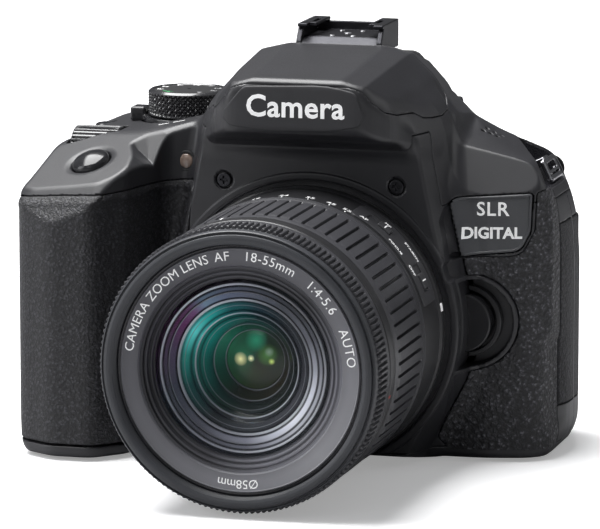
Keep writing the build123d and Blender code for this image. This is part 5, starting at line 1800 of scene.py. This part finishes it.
solid("cross_key_ring", cross_keys, (-54, 34, 23), (-34, 38, 43), 0.22,
      "cross", "control_plastic", "control_plastic", "cross_keys")
solid("set_button_cap", set_button, (-49.5, 34, 27.5), (-38.5, 38.2, 38.5), 0.2,
      "set", "button_gloss", "gloss_black", "set_button")
solid("thumb_rest", thumb_rest, (-60.6, 35, 48.4), (-43, 38, 61.6), 0.25,
      "body", "grip_rubber", "grip_rubber", "thumb_rubber")

# ------------------------------------------------------------------ battery door


def battery_door(x, y, z):
    shape = box(x, y, z, (-67.0, -49.0), (-23.0, 13.0), (0.12, 2.7), 0.5)
    shape = high(shape, -box(x, y, z, (-66.0, -60.0), (-8.0, 2.0), (-1, 1.4), 0.2))
    for groove in (5.0, 6.2, 7.4):
        shape = high(shape, -box(x, y, z, (-64, -52), (groove - 0.2, groove + 0.2),
                                 (-1, 0.35), 0.05))
    return shape


def door_latch(x, y, z):
    shape = box(x, y, z, (-65.8, -62.4), (-7.8, 1.8), (0.2, 1.38), 0.25)
    for groove in (-5.5, -4.2, -2.9, -1.6, -0.3):
        shape = high(shape, -box(x, y, z, (-65.2, -63.0), (groove - 0.25, groove + 0.25),
                                 (-1, 0.5), 0.05))
    return shape


solid("battery_door_plate", battery_door, (-68, -24, -0.5), (-48, 14, 3.3), 0.25,
      "battery_hatch", "body_plastic", "control_plastic", "battery_door")
solid("battery_latch", door_latch, (-66.5, -8.5, -0.3), (-61.8, 2.5, 2), 0.14,
      "hatch_latch", "control_plastic", "control_plastic", "door_latch")

# ------------------------------------------------------------------ stage, light and camera


def aim(obj, place, target):
    obj.location = place
    direction = Vector(target) - Vector(place)
    obj.rotation_euler = direction.to_track_quat("-Z", "Y").to_euler()


def floor_paper():
    """Pale to the camera, but throws less light back on the black body."""
    m = Shader("floor_paper")
    seen = m.node("ShaderNodeLightPath").outputs["Is Camera Ray"]
    lighting = m.mottle(m.noise(0.01, detail=2.0), (0.40, 0.40, 0.41), (0.43, 0.43, 0.44))
    visible = m.mottle(m.noise(0.01, detail=2.0), (0.88, 0.88, 0.89), (0.91, 0.91, 0.92))
    m.surface({"Base Color": m.mix(seen, lighting, visible), "Roughness": 0.7,
               "Normal": m.bump(m.noise(1.0, detail=3.0), strength=0.02, depth=0.05),
               "Emission Color": (1.0, 1.0, 1.0, 1.0),
               "Emission Strength": m.math("MULTIPLY", seen, 0.30)})


def floor():
    """Flat sweep that curves up into a wall behind the camera body."""
    bend = [(3.4 + 0.6 * math.sin(a), 0.6 - 0.6 * math.cos(a))
            for a in np.linspace(0, math.pi / 2, 24)]
    profile = [(-3.0, 0.0)] + bend + [(4.0, 4.0)]
    verts = [(x, y, z) for y, z in profile for x in (-4, 4)]
    faces = [(2 * i, 2 * i + 1, 2 * i + 3, 2 * i + 2) for i in range(len(profile) - 1)]
    mesh = bpy.data.meshes.new("floor")
    mesh.from_pydata(verts, [], faces)
    mesh.polygons.foreach_set("use_smooth", np.ones(len(mesh.polygons), bool))
    obj = link("floor", mesh)
    obj.location.z = -0.0006
    floor_paper()
    mesh.materials.append(MATERIALS["floor_paper"])


def lights():
    # name, place, target, width, height, watts, colour
    for name, place, target, width, height, power, colour in (
            ("key_top", (-0.36, 0.05, 1.2), (0, 0, 0.05), 1.15, 0.9, 36.0, (1, 1, 1)),
            ("left_soft", (-1.15, -0.55, 0.50), (0, 0, 0.05), 0.6, 0.9, 5.0, (0.97, 0.98, 1)),
            ("front_fill", (-0.35, -1.3, 0.75), (0, 0, 0.05), 0.5, 0.4, 0.8, (1, 1, 1)),
            ("right_rim", (1.0, 0.55, 0.5), (0.03, 0, 0.05), 0.4, 0.7, 0.9, (1, 1, 1))):
        light = bpy.data.lights.new(name, "AREA")
        light.shape = "RECTANGLE"
        light.size = width
        light.size_y = height
        light.energy = power
        light.color = colour
        aim(link(name, light), place, target)


def world():
    """Bright to the camera, dim as a light."""
    studio = bpy.data.worlds.new("studio")
    studio.use_nodes = True
    tree = studio.node_tree
    background = tree.nodes["Background"]
    background.inputs[0].default_value = (0.95, 0.97, 1.0, 1)
    path = tree.nodes.new("ShaderNodeLightPath")
    strength = tree.nodes.new("ShaderNodeMapRange")
    strength.inputs["To Min"].default_value = 0.20
    strength.inputs["To Max"].default_value = 1.0
    tree.links.new(path.outputs["Is Camera Ray"], strength.inputs["Value"])
    tree.links.new(strength.outputs["Result"], background.inputs[1])
    bpy.context.scene.world = studio


def camera():
    data = bpy.data.cameras.new("cam")
    data.sensor_width = 36.0
    data.lens = 317.8
    data.clip_start = 0.05
    data.clip_end = 20
    obj = link("cam", data)
    aim(obj, (0.3195, -1.2112, 0.2599), (-0.00184, -0.022, 0.04777))
    bpy.context.scene.camera = obj
    bpy.context.scene.view_settings.view_transform = "Standard"


floor()
lights()
world()
camera()
